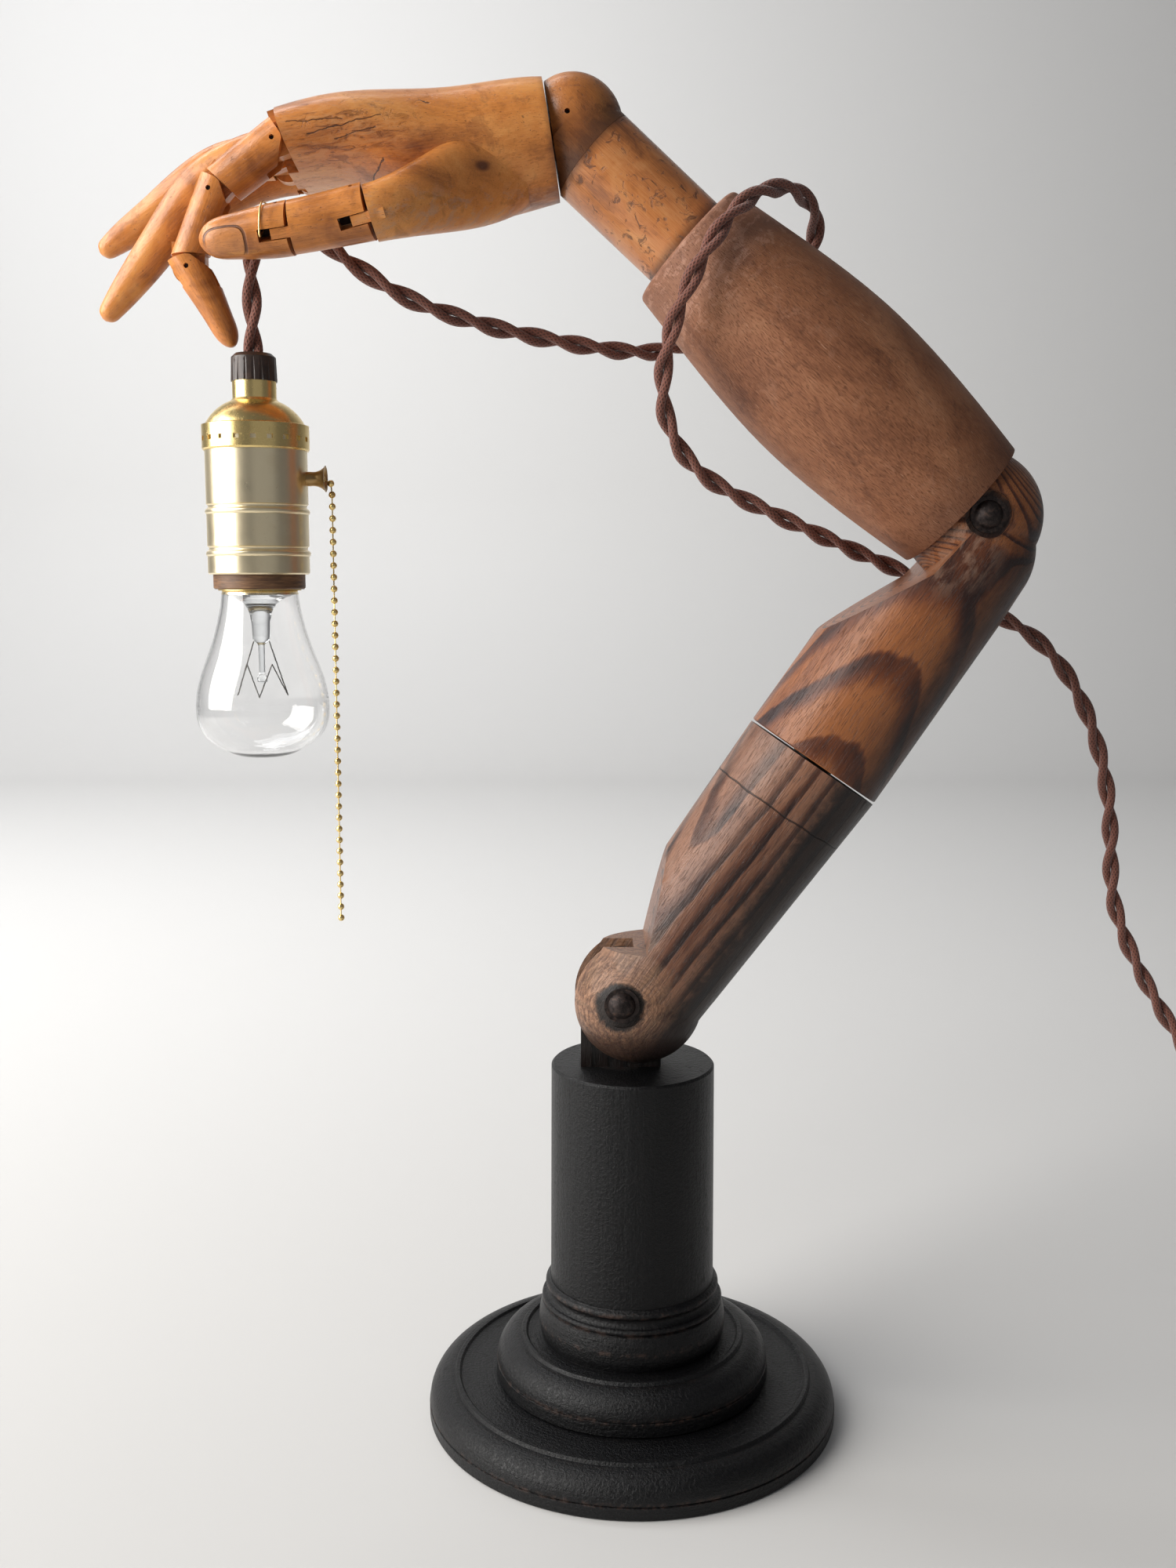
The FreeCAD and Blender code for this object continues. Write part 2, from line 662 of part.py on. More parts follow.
index_knuckle = Joint(-118.3, 449.3, 199.0, index_y, reach=3.4)
index_middle_joint = Joint(-139.3, 433.8, 227.5, index_y)
index_tip_joint = Joint(-147.3, 409.5, 270.0, index_y, reach=4.2)
finger_knuckles = [
    Joint(-121.8, 449.0, 199.0, index_y + finger_pitch, reach=3.4),
    Joint(-119.5, 449.0, 199.0, index_y + 2 * finger_pitch, reach=3.4),
    Joint(-114.5, 449.0, 199.0, index_y + 3 * finger_pitch, reach=3.4),
]
thumb_base = Joint(-89.2, 423.6, thumb_facings[0], thumb_y, thumb_axis(thumb_facings[0]), 3.4)
thumb_middle = Joint(-114.3, 419.4, thumb_facings[1], thumb_y, thumb_axis(thumb_facings[1]), 3.4)


# Middle line and half sizes of the thumb's two pieces.
thumb_proximal_stations = (
    (-79.0, 426.0, 9.2, 8.2), (-89.0, 423.9, 9.0, 8.0),
    (-101.0, 421.4, 8.6, 7.8), (-118.0, 418.4, 8.3, 7.7),
)
thumb_distal_stations = (
    (-104.0, 420.6, 8.7, 7.7), (-113.0, 419.1, 8.5, 7.7),
    (-122.0, 417.7, 7.9, 7.4), (-129.5, 416.7, 7.0, 6.5),
)


def palm():
    """Palm with the heel of the thumb, tongues for the knuckles and a tenon for the wrist."""
    sections = (
        (-24.5, 456.3, 0.0, 19.6, 19.4), (-45.0, 453.0, 0.0, 22.4, 21.4), (-66.8, 451.6, 1.0, 26.5, 20.2),
        (-90.7, 454.6, 1.5, 30.5, 15.6), (-112.0, 453.0, 1.2, 32.0, 12.6), (-132.0, 449.5, 1.0, 31.5, 9.0),
    )
    across = hand_way.cross(Vector(0, 1, 0)).normalize()
    rings = [ellipse(at(x, z, y), Vector(0, side, 0), across * up) for x, z, y, side, up in sections]
    body = smooth_loft(rings)
    heel = (
        (-38.0, 447.0, -5.0, 12.0, 14.0), (-54.0, 439.5, -14.5, 12.0, 15.0),
        (-70.0, 430.8, -27.5, 10.6, 11.6),
        (-82.0, 425.2, -34.6, 8.9, 9.3), (-92.0, 422.6, -36.2, 8.4, 8.9),
    )
    rings = [ellipse(at(x, z, y), across * up, Vector(0, side, 0)) for x, z, y, side, up in heel]
    body = body.fuse(smooth_loft(rings))
    body = body.cut(half_space(palm_face + hand_way * palm_gap, hand_way * -1))
    bore = rod(palm_face, hand_way, hand_tenon_length + 0.4, hand_tenon_radius + hinge_clearance)
    body = body.cut(bore)
    body = trim_heel(body)
    for joint in [index_knuckle] + finger_knuckles:
        half = finger_pitch / 2
        block = half_space(joint.pin - joint.facing * joint.reach, joint.facing, 60)
        band = Part.makeBox(400, 2 * half, 200, Vector(-300, joint.pin.y - half, 380))
        body = body.cut(block.common(band))
    far = half_space(at(-100, 450, index_y - finger_pitch / 2), Vector(0, -1, 0)).common(
        half_space(index_knuckle.pin - index_knuckle.facing * index_knuckle.reach, index_knuckle.facing, 60)
    )
    body = body.cut(far)
    last = finger_knuckles[-1]
    far = half_space(at(-100, 450, last.pin.y + finger_pitch / 2), Vector(0, 1, 0)).common(
        half_space(last.pin - last.facing * last.reach, last.facing, 60)
    )
    body = body.cut(far)
    for joint in [index_knuckle] + finger_knuckles:
        body = body.fuse(tongue(joint, tongue_root, finger_tongue, tongue_width))
    return body.fuse(flush_tongue(thumb_base, thumb_proximal_stations))


def trim_heel(body):
    """Cuts the heel flat where the thumb starts, and leaves the palm behind it."""
    block = half_space(thumb_base.pin - thumb_base.facing * thumb_base.reach, thumb_base.facing, 80)
    low = heel_trim_z - 60
    near = Part.makeBox(200, 60, 60, Vector(-200, thumb_y - 40, low))
    return body.cut(block.common(near))


def phalanx(joint, stations, tip=0.0, ahead=None):
    """One finger piece on its joint. With ahead, its far end carries the next joint's tongue."""
    piece = limb(stations, joint.pin.y, tip)
    if ahead:
        piece = faced(piece, ahead)
    piece = fork_end(piece, joint, tongue_width, finger_tongue + 0.5, finger_bevels)
    if ahead:
        piece = piece.fuse(tongue(ahead, tongue_root, finger_tongue, tongue_width))
    return piece


def index_proximal():
    stations = (
        (-110.0, 454.9, 7.6, 6.9), (-118.3, 449.1, 7.5, 6.9),
        (-128.0, 441.9, 7.3, 6.7), (-140.0, 433.0, 6.9, 6.5),
    )
    return phalanx(index_knuckle, stations, ahead=index_middle_joint)


def index_middle():
    stations = (
        (-134.6, 443.0, 6.3, 6.5), (-139.9, 430.6, 6.2, 6.4),
        (-144.0, 421.2, 6.0, 6.3), (-149.0, 409.5, 5.8, 6.1),
    )
    return phalanx(index_middle_joint, stations, ahead=index_tip_joint)


def index_distal():
    stations = (
        (-151.5, 418.5, 5.6, 6.1), (-146.6, 409.0, 5.9, 6.1),
        (-141.6, 400.4, 5.3, 5.6), (-138.0, 393.0, 4.4, 4.8),
    )
    return phalanx(index_tip_joint, stations, tip=9.4)


def middle_finger():
    stations = (
        (-108.5, 457.5, 7.2, 6.5), (-122.0, 450.9, 7.4, 6.6),
        (-136.5, 445.5, 7.6, 6.6), (-150.0, 435.5, 7.3, 6.4),
        (-160.5, 421.5, 6.7, 6.0), (-171.0, 408.0, 5.4, 5.0), (-177.6, 399.8, 4.0, 3.9),
    )
    return phalanx(finger_knuckles[0], stations, tip=5.4)


def ring_finger():
    stations = (
        (-106.0, 454.5, 7.0, 6.3), (-119.5, 452.6, 7.3, 6.5),
        (-134.5, 451.5, 7.4, 6.4), (-147.5, 447.5, 7.0, 6.2),
        (-158.0, 440.5, 6.4, 5.9), (-168.0, 432.8, 5.7, 5.3),
        (-176.5, 426.8, 4.9, 4.6), (-181.6, 423.2, 4.0, 3.8),
    )
    return phalanx(finger_knuckles[1], stations, tip=5.0)


def little_finger():
    stations = (
        (-101.5, 452.0, 6.3, 5.7), (-114.5, 450.5, 6.5, 5.9),
        (-126.5, 449.0, 6.5, 5.8), (-138.0, 445.0, 6.0, 5.4),
        (-147.5, 439.5, 5.4, 5.0), (-155.5, 434.0, 4.8, 4.5),
    )
    return phalanx(finger_knuckles[2], stations, tip=7.5)


def thumb_proximal():
    piece = faced(limb(thumb_proximal_stations, thumb_y), thumb_middle)
    piece = fork_end(piece, thumb_base, thumb_tongue, thumb_slot_depth, thumb_bevels)
    return piece.fuse(flush_tongue(thumb_middle, thumb_distal_stations))


def thumb_distal():
    piece = limb(thumb_distal_stations, thumb_y, 11.2)
    return fork_end(piece, thumb_middle, thumb_tongue, thumb_slot_depth, thumb_bevels)


def pin_of(joint, half_length):
    return crosswise(joint.pin, finger_pin_radius, half_length, joint.axis)


def thumb_wire():
    """Thin brass wire out of the thumb's slot and over its back, that ties the cord to it."""
    loop = (
        (-36.0, 418.2), (-41.5, 415.9), (-43.9, 415.4), (-44.25, 417.0), (-43.7, 420.6), (-41.6, 424.6),
        (-38.2, 426.9), (-34.0, 427.5), (-28.6, 428.3), (-23.6, 428.7), (-20.0, 427.4), (-18.7, 423.8),
        (-20.0, 420.2), (-23.8, 418.9), (-28.6, 420.4),
    )
    points = [at(wire_x, z, y) for y, z in loop]
    curve = Part.BSplineCurve()
    curve.interpolate(Points=points, PeriodicFlag=True)
    path = Part.Wire(curve.toShape())
    way = curve.tangent(curve.FirstParameter)[0]
    profile = Part.Wire(Part.makeCircle(wire_radius, points[0], way))
    return path.makePipeShell([profile], True, False)


# ---- lamp ------------------------------------------------------------------------------------------


def on_lamp(*steps):
    """Solid turned about the lamp's upright axis. A step gives height and radius."""
    return turned(outline(*steps), Vector(lamp_x, lamp_y, 0), Vector(0, 0, 1))


grip_bottom = grip_top - grip_height
neck_bottom = grip_bottom - cap_neck_height
dome_bottom = neck_bottom - dome_drop
ring_bottom = dome_bottom - ring_height


def cord_grip():
    body = on_lamp(
        (grip_bottom, 0), (grip_bottom, grip_radius), (grip_top - 1.2, grip_radius - 0.3),
        (grip_top, grip_radius - 1.6), (grip_top, 0),
    )
    for i in range(grip_flutes):
        angle = 2 * math.pi * i / grip_flutes
        out = Vector(math.cos(angle), math.sin(angle), 0) * (grip_radius + grip_flute / 2)
        foot = Vector(lamp_x, lamp_y, grip_bottom - 1) + out
        body = body.cut(rod(foot, Vector(0, 0, 1), grip_height - 0.6, grip_flute))
    return body


def socket_cap():
    """Neck, dome and slotted ring of thin brass, open below."""
    inner = sheet
    body = on_lamp(
        (grip_bottom, 3.2), (grip_bottom, cap_neck_radius), (neck_bottom + 0.8, cap_neck_radius),
        (neck_bottom, cap_neck_radius + 0.6),
        ((dome_bottom + 0.48 * dome_drop, 0.84 * dome_base_radius), (dome_bottom, dome_base_radius)),
        (dome_bottom - 0.4, ring_radius), (ring_bottom + 0.5, ring_radius),
        (ring_bottom, ring_radius - 0.4),
        (ring_bottom, ring_radius - inner - 0.1), (dome_bottom - 1.4, ring_radius - inner - 0.1),
        (dome_bottom - 1.2, dome_base_radius - inner),
        (
            (dome_bottom + 0.44 * dome_drop, 0.84 * dome_base_radius - inner),
            (neck_bottom - inner, cap_neck_radius - 0.4),
        ),
        (neck_bottom - inner, 3.2),
    )
    for i in range(ring_slots):
        angle = 2 * math.pi * (i + 0.5) / ring_slots
        way = Vector(math.cos(angle), math.sin(angle), 0)
        middle = Vector(lamp_x, lamp_y, dome_bottom - 0.58 * ring_height)
        body = body.cut(plate(middle, way, Vector(0, 0, 1), 0, ring_radius + 2, 1.0, 1.5))
    return body


def socket_shell():
    """Drawn brass shell with two rolled beads, up inside the cap's ring."""
    top = dome_bottom - 1.8
    outer = ring_radius - sheet - 0.15
    steps = [(top, outer - sheet), (top, outer)]
    steps += [(ring_bottom + 0.1, outer), (ring_bottom - 0.4, shell_radius)]
    for height in roll_heights:
        steps += [
            (height + 1.5, shell_radius),
            ((height + 0.75, shell_radius - 0.55), (height, shell_radius - 0.05)),
            ((height - 0.9, shell_radius + 0.45), (height - 1.8, shell_radius)),
        ]
    steps += [(shell_bottom + 0.5, shell_radius), (shell_bottom, shell_radius - 0.5)]
    steps += [(shell_bottom, rim_radius - sheet), (shell_bottom + sheet, rim_radius - sheet)]
    steps += [(shell_bottom + sheet, shell_radius - sheet - 0.6), (top - 10, shell_radius - sheet - 0.6)]
    body = on_lamp(*steps)
    hole = rod(Vector(lamp_x, lamp_y, guide_z), Vector(1, 0, 0), shell_radius + 5, guide_bore + 0.7)
    return body.cut(hole)


def socket_rim():
    """Brown insulating rim below the shell."""
    return on_lamp(
        (rim_bottom, screw_radius), (rim_bottom, rim_radius - 0.5), (rim_bottom + 0.5, rim_radius),
        (shell_bottom, rim_radius), (shell_bottom, rim_radius - sheet),
        (shell_bottom + 4, rim_radius - sheet),
        (shell_bottom + 4, screw_radius),
    )


def socket_screw():
    """Brass screw shell that takes the bulb."""
    top = bulb_cap_bottom + bulb_cap_height
    inner = bulb_cap_radius + 0.05
    return on_lamp(
        (rim_bottom - 0.4, inner), (rim_bottom - 0.4, screw_radius), (top + sheet, screw_radius),
        (top + sheet, 0), (top, 0), (top, inner),
    )


def switch_body():
    """Moulded switch housing above the screw shell."""
    low = bulb_cap_bottom + bulb_cap_height + sheet
    return on_lamp((low, 0), (low, screw_radius), (ring_bottom + 2, screw_radius), (ring_bottom + 2, 0))


def chain_guide():
    """Small brass trumpet that the chain comes out of."""
    start = Vector(lamp_x + screw_radius, lamp_y, guide_z)
    shell = shell_radius - screw_radius
    mouth = shell + guide_reach
    return turned(
        outline(
            (0, guide_bore), (0, guide_bore + 0.7), (shell + 1.2, guide_bore + 0.7),
            ((mouth - 1.8, guide_bore + 1.2), (mouth, guide_mouth_radius)),
            (mouth, guide_mouth_radius - 0.5), ((mouth - 1.6, guide_bore + 0.6), (mouth - 4.2, guide_bore)),
        ),
        start, Vector(1, 0, 0),
    )


def bead(middle, way):
    """Hollow ball of the chain, as two cones and a band."""
    r = bead_diameter / 2
    face = outline((-r, 0.4), (-0.4 * r, r), (0.4 * r, r), (r, 0.4), (r, 0), (-r, 0))
    return turned(face, middle, way)


def chain_lead():
    """The chain's first beads, inside the guide and over its lip."""
    lip = lamp_x + shell_radius + guide_reach
    places = [
        (Vector(lip - 5.2, lamp_y, guide_z), Vector(1, 0, 0)),
        (Vector(lip - 1.3, lamp_y, guide_z), Vector(1, 0, 0)),
        (Vector(lip + 1.7, lamp_y, guide_z - 1.5), Vector(1, 0, -1)),
    ]
    body = bead(*places[0])
    for (a, way_a), (b, way_b) in zip(places, places[1:]):
        body = body.fuse(rod(a, b - a, (b - a).Length, 0.4)).fuse(bead(b, way_b))
    return body


def pull_chain():
    """Ball chain that hangs from the guide and works the switch."""
    down = Vector(0, 0, -1)
    body = rod(Vector(chain_x, lamp_y, chain_top), down, bead_pitch * (chain_beads - 1), 0.4)
    for i in range(chain_beads):
        body = body.fuse(bead(Vector(chain_x, lamp_y, chain_top - i * bead_pitch), down))
    return body


def bulb_cap():
    """Brass screw cap of the bulb with its centre contact."""
    top = bulb_cap_bottom + bulb_cap_height
    steps = [(bulb_cap_bottom, bulb_cap_radius - 1.3), (bulb_cap_bottom, bulb_cap_radius - 0.2)]
    pitch = (bulb_cap_height - 6.0) / bulb_thread_count
    for i in range(bulb_thread_count):
        low = bulb_cap_bottom + 1.5 + i * pitch
        steps += [(low, bulb_cap_radius - 0.6), (low + pitch / 2, bulb_cap_radius)]
    steps += [(top - 4.0, bulb_cap_radius - 0.6), (top - 1.6, 6.0), (top - 0.6, 4.0), (top, 4.0), (top, 0)]
    steps += [(top - 2.6, 0), (top - 5.0, bulb_cap_radius - 1.3), (bulb_cap_bottom, bulb_cap_radius - 1.3)]
    return on_lamp(*steps)


def bulb_outline(inset):
    """Pear outline of the glass from neck to bottom, as heights and radii."""
    return [
        (bulb_cap_bottom, bulb_cap_radius - 0.2 - inset), (296.0, 13.9 - inset), (286.0, 16.7 - inset),
        (276.0, 20.4 - inset), (bulb_middle, bulb_radius - inset), (256.5, 20.2 - inset),
        (250.4, 12.4 - inset * 0.8), (bulb_bottom + inset, 0.0),
    ]


def bulb_glass():
    curves = []
    for inset in (0.0, glass_wall):
        points = [Vector(z, r, 0) for z, r in bulb_outline(inset)]
        curve = Part.BSplineCurve()
        curve.interpolate(Points=points, FinalTangent=Vector(0, -1, 0), InitialTangent=Vector(-1, 0.05, 0))
        curves.append((curve.toShape(), points))
    (outer, out_points), (inner, in_points) = curves
    edges = [
        outer,
        Part.LineSegment(out_points[-1], in_points[-1]).toShape(),
        inner,
        Part.LineSegment(in_points[0], out_points[0]).toShape(),
    ]
    face = Part.Face(Part.Wire(Part.__sortEdges__(edges)))
    return turned(face, Vector(lamp_x, lamp_y, 0), Vector(0, 0, 1))


def bulb_stem():
    """Glass stem with its flare, seal and central rod."""
    top = bulb_cap_bottom
    return on_lamp(
        (top, 0), (top, bulb_cap_radius - glass_wall - 0.25), (top - 1.2, 8.4), (top - 3.4, 5.2),
        (top - 6.2, 3.8), (top - 9.0, 3.2),
        (top - 15.0, 2.9), (top - 17.0, 1.1),
        (top - 27.0, 1.0), (top - 28.0, 1.7), (top - 29.5, 1.7), (top - 30.2, 0),
    )


def filament():
    """Lead-in wires and the filament strung between their ends."""
    top = bulb_cap_bottom
    wire = 0.22
    middle = Vector(lamp_x, lamp_y, 0)
    points = [
        Vector(-2.6, 0, top - 15.8), Vector(-8.5, 0, top - 34.0), Vector(-4.2, -4.0, top - 23.5),
        Vector(0, -5.5, top - 34.5), Vector(4.2, -4.0, top - 23.5), Vector(8.5, 0, top - 34.0),
        Vector(2.6, 0, top - 15.8),
    ]
    points = [p + middle for p in points]
    body = rod(points[0], points[1] - points[0], (points[1] - points[0]).Length, wire)
    for a, b in zip(points[1:], points[2:]):
        body = body.fuse(ball(a, wire * 1.02)).fuse(rod(a, b - a, (b - a).Length, wire))
    return body


# ---- cord, coil and plug ---------------------------------------------------------------------------


def coil():
    """Outer shape of the coiled length, with the short end that runs to the plug."""
    inner, outer = coil_turn_radius - cord_radius - 0.1, coil_turn_radius + cord_radius + 0.1
    height = coil_pitch * coil_turns + 2 * cord_radius + 0.1
    ring = turned(
        outline((0, inner + 1.5), ((0.5, inner + 0.5), (1.5, inner)), (height - 1.5, inner),
                ((height - 0.5, inner + 0.5), (height, inner + 1.5)), (height, outer - 1.5),
                ((height - 0.5, outer - 0.5), (height - 1.5, outer)), (1.5, outer),
                ((0.5, outer - 0.5), (0, outer - 1.5))),
        Vector(coil_x, coil_y, 0), Vector(0, 0, 1),
    )
    start = Vector(coil_x - 4, coil_y - coil_turn_radius, cord_radius + 0.05)
    end = rod(start, Vector(-1, 0, 0), coil_end_length, cord_radius)
    return ring.fuse(end).removeSplitter()


plug_nose = Vector(coil_x - 26.0, coil_y - coil_turn_radius, 0)


def plug_body():
    """Moulded two-pin plug with a tapered strain relief."""
    nose_z = cord_radius + 0.35
    sections = []
    spans = (
        (0.0, 3.6, 3.6, nose_z), (relief_length, 5.2, 4.6, 5.0),
        (relief_length + 2.0, plug_width / 2 - 2.0, plug_height / 2 - 1.0, plug_height / 2),
        (relief_length + 8.0, plug_width / 2, plug_height / 2, plug_height / 2),
        (relief_length + plug_length, plug_width / 2 - 0.6, plug_height / 2 - 0.4, plug_height / 2),
    )
    for along, half_width, half_height, z in spans:
        middle = plug_nose + Vector(-along, 0, z)
        corner = min(half_height, half_width) * 0.55
        sections.append(rounded_section(middle, half_width, half_height, corner))
    return Part.makeLoft(sections, True, True)


def rounded_section(middle, half_width, half_height, corner):
    """Rounded rectangle across X."""
    edges = []
    signs = ((1, 1), (-1, 1), (-1, -1), (1, -1))
    for i, (sy, sz) in enumerate(signs):
        centre = middle + Vector(0, sy * (half_width - corner), sz * (half_height - corner))
        arms = (Vector(0, sy, 0), Vector(0, 0, sz)) if i % 2 == 0 else (Vector(0, 0, sz), Vector(0, sy, 0))
        start, end = centre + arms[0] * corner, centre + arms[1] * corner
        mid = centre + Vector(0, sy, sz).normalize() * corner
        edges.append((start, mid, end))
    shapes = []
    for i, (start, mid, end) in enumerate(edges):
        shapes.append(Part.Arc(start, mid, end).toShape())
        following = edges[(i + 1) % 4][0]
        if (following - end).Length > 1e-3:
            shapes.append(Part.LineSegment(end, following).toShape())
    return Part.Wire(shapes)


def plug_blades():
    face_x = plug_nose.x - relief_length - plug_length
    blades = []
    for side in (-1, 1):
        y = plug_nose.y + side * blade_spacing / 2
        corner = Vector(face_x - blade_length, y - blade_thickness / 2, plug_height / 2 - blade_width / 2)
        blades.append(Part.makeBox(blade_length, blade_thickness, blade_width, corner))
    return Part.Compound(blades)


# ---- all pieces -------------------------------------------------------------------------------------


def all_nodes():
    nodes = {
        "base_disc": base_disc(),
        "base_step": base_step(),
        "column": column(),
        "shoulder_tongue": shoulder_tongue(),
        "lower_arm": lower_arm(),
        "shoulder_bolt": bolt(shoulder),
        "shoulder_nut": nut(shoulder),
        "arm_dowel": arm_dowel(),
        "upper_arm": upper_arm(),
        "elbow_bolt": bolt(elbow),
        "elbow_nut": nut(elbow),
        "forearm": forearm(),
        "elbow_tongue": elbow_tongue(),
        "wrist_shaft": wrist_shaft(),
        "wrist_knuckle": wrist_knuckle(),
        "wrist_pin": wrist_pin(),
        "palm": palm(),
        "index_proximal": index_proximal(),
        "index_middle": index_middle(),
        "index_distal": index_distal(),
        "middle_finger": middle_finger(),
        "ring_finger": ring_finger(),
        "little_finger": little_finger(),
        "thumb_proximal": thumb_proximal(),
        "thumb_distal": thumb_distal(),
        "index_knuckle_pin": pin_of(index_knuckle, knuckle_pin_half),
        "index_middle_pin": pin_of(index_middle_joint, middle_pin_half),
        "index_tip_pin": pin_of(index_tip_joint, tip_pin_half),
        "middle_knuckle_pin": pin_of(finger_knuckles[0], knuckle_pin_half),
        "ring_knuckle_pin": pin_of(finger_knuckles[1], knuckle_pin_half),
        "little_knuckle_pin": pin_of(finger_knuckles[2], tip_pin_half),
        "thumb_base_pin": pin_of(thumb_base, thumb_pin_halves[0]),
        "thumb_middle_pin": pin_of(thumb_middle, thumb_pin_halves[1]),
        "thumb_wire": thumb_wire(),
        "cord_grip": cord_grip(),
        "socket_cap": socket_cap(),
        "socket_shell": socket_shell(),
        "socket_rim": socket_rim(),
        "socket_screw": socket_screw(),
        "switch_body": switch_body(),
        "chain_guide": chain_guide(),
        "chain_lead": chain_lead(),
        "pull_chain": pull_chain(),
        "bulb_cap": bulb_cap(),
        "bulb_glass": bulb_glass(),
        "bulb_stem": bulb_stem(),
        "filament": filament(),
        "cord_coil": coil(),
        "plug_body": plug_body(),
        "plug_blades": plug_blades(),
    }
    bends = cord_path()
    print("cord arc radii:", ", ".join("%.0f" % bend[3] for bend in bends[1:-1]))
    for name, (first_run, last_run) in cord_breaks.items():
        nodes[name], length, share = cord_tube(bends, first_run, last_run)
        print("%s: length %.1f, volume share %.4f" % (name, length, share))
    nodes["cord_tail"] = nodes["cord_tail"].cut(nodes["cord_coil"])
    return nodes


os.makedirs("parts", exist_ok=True)
for name, shape in all_nodes().items():
    if not shape.isValid() or not shape.Solids:
        print("not a valid solid:", name)
    shape.exportStep("parts/%s.step" % name)
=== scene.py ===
import json
import math

import bmesh
import bpy
import numpy as np
from bpy.props import FloatProperty, FloatVectorProperty, IntProperty, PointerProperty
from mathutils import Matrix, Vector


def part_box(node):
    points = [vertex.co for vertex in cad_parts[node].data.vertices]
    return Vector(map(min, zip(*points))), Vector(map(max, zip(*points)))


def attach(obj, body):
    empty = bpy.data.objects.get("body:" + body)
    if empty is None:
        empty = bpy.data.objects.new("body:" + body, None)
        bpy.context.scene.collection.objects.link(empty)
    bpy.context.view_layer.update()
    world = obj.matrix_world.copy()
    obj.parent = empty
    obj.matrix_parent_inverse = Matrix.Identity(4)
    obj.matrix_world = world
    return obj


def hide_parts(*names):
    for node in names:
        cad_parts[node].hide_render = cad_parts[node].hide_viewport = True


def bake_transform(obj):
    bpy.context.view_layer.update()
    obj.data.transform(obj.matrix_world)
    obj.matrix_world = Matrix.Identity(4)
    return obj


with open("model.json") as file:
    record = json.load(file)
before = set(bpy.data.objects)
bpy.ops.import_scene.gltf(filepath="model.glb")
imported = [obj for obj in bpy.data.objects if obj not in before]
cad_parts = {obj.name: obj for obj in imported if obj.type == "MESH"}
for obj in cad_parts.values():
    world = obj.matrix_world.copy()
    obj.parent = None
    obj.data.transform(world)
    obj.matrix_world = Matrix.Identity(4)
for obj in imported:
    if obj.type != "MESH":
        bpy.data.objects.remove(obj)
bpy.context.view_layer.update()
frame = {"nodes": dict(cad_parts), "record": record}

bl_info = {
    "name": "Mannequin arm lamp",
    "version": (1, 0, 0),
    "blender": (4, 5, 0),
    "location": "View3D > Sidebar > Arm Lamp",
    "description": "Dresses a desk lamp made from a jointed wooden arm and hand",
    "category": "Object",
}

MM = 0.001


def tone(red, green, blue):
    """Linear colour from display values of 0 to 255."""
    shares = (value / 255 for value in (red, green, blue))
    return tuple(((v + 0.055) / 1.055) ** 2.4 if v * 255 > 10 else v / 12.92 for v in shares)


def middle_of(node):
    low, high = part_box(node)
    return (low + high) / 2


# ---- sizes and colours ------------------------------------------------------------------------------

# The cord's line from the lamp's grip to the coil, in millimetres.
CORD_ROUTE = (
    (-127.0, -23.6, 382.0), (-127.0, -23.6, 399.0), (-127.0, -23.6, 416.8), (-120.6, -23.6, 424.2),
    (-110.9, -23.6, 425.0), (-99.5, -23.4, 414.9), (-86.5, -22.4, 405.8), (-73.5, -18.4, 399.0),
    (-57.0, -10.6, 394.8), (-42.5, -2.4, 392.2), (-25.0, 6.4, 390.2), (-7.5, 15.5, 388.6),
    (9.5, 27.0, 389.4), (27.0, 35.5, 396.5), (46.0, 37.0, 407.0), (62.0, 32.5, 420.5),
    (66.0, 20.5, 433.5), (57.0, 3.5, 440.5), (43.0, -14.0, 437.5), (30.5, -27.0, 427.0),
    (20.0, -31.5, 411.0), (11.5, -29.0, 392.5), (8.0, -20.5, 376.5), (9.5, -14.0, 361.0),
    (18.5, -7.0, 347.0), (32.0, 0.0, 338.6), (49.5, 6.0, 331.0), (67.5, 13.5, 323.6),
    (86.0, 23.5, 316.4), (104.5, 30.8, 309.4), (123.0, 33.2, 301.4), (139.5, 32.0, 293.6),
    (151.5, 32.0, 286.6), (162.5, 33.0, 275.4), (171.5, 34.5, 261.0), (178.5, 36.0, 243.5),
    (183.2, 37.0, 225.5), (185.0, 37.6, 206.0), (186.0, 38.0, 187.0), (193.0, 38.0, 167.5),
    (203.0, 37.5, 148.5), (214.5, 36.5, 130.5), (226.5, 35.5, 109.0), (237.0, 34.5, 84.5),
    (247.5, 33.0, 59.5), (262.0, 31.0, 39.5), (279.0, 30.0, 29.5), (296.0, 30.0, 26.75),
)
# Which way the limbs point, in degrees from level, seen from the front.
ARM_HEADING = 55.6
FOREARM_HEADING = 137.7
HAND_HEADING = 188.9
# Radius and height of the turned edges of the base, where the paint is rubbed.
BASE_LIPS = ((75.2, 5.2), (68.2, 15.0), (50.2, 19.8), (43.0, 29.8), (34.4, 36.0), (33.0, 43.0), (32.0, 49.0))
# Cracks and scratches of the palm: both ends along and down the hand, and half the width.
PALM_CRACKS = (
    ((53.8, -9.0), (78.2, -6.5), 0.24), ((56.0, -5.5), (70.0, -4.0), 0.18), ((55.8, 2.6), (66.2, 9.4), 0.30),
    ((66.0, -9.5), (84.0, -10.5), 0.18), ((38.0, -12.0), (41.5, -13.5), 0.22),
)
# Step between two points of the cord's line, and the height where its hanging drop ends, in metres.
CORD_STEP = 0.0013
DROP_TOP = 0.408
# Stands for the cord's end in the list of its pieces.
LAST = 999
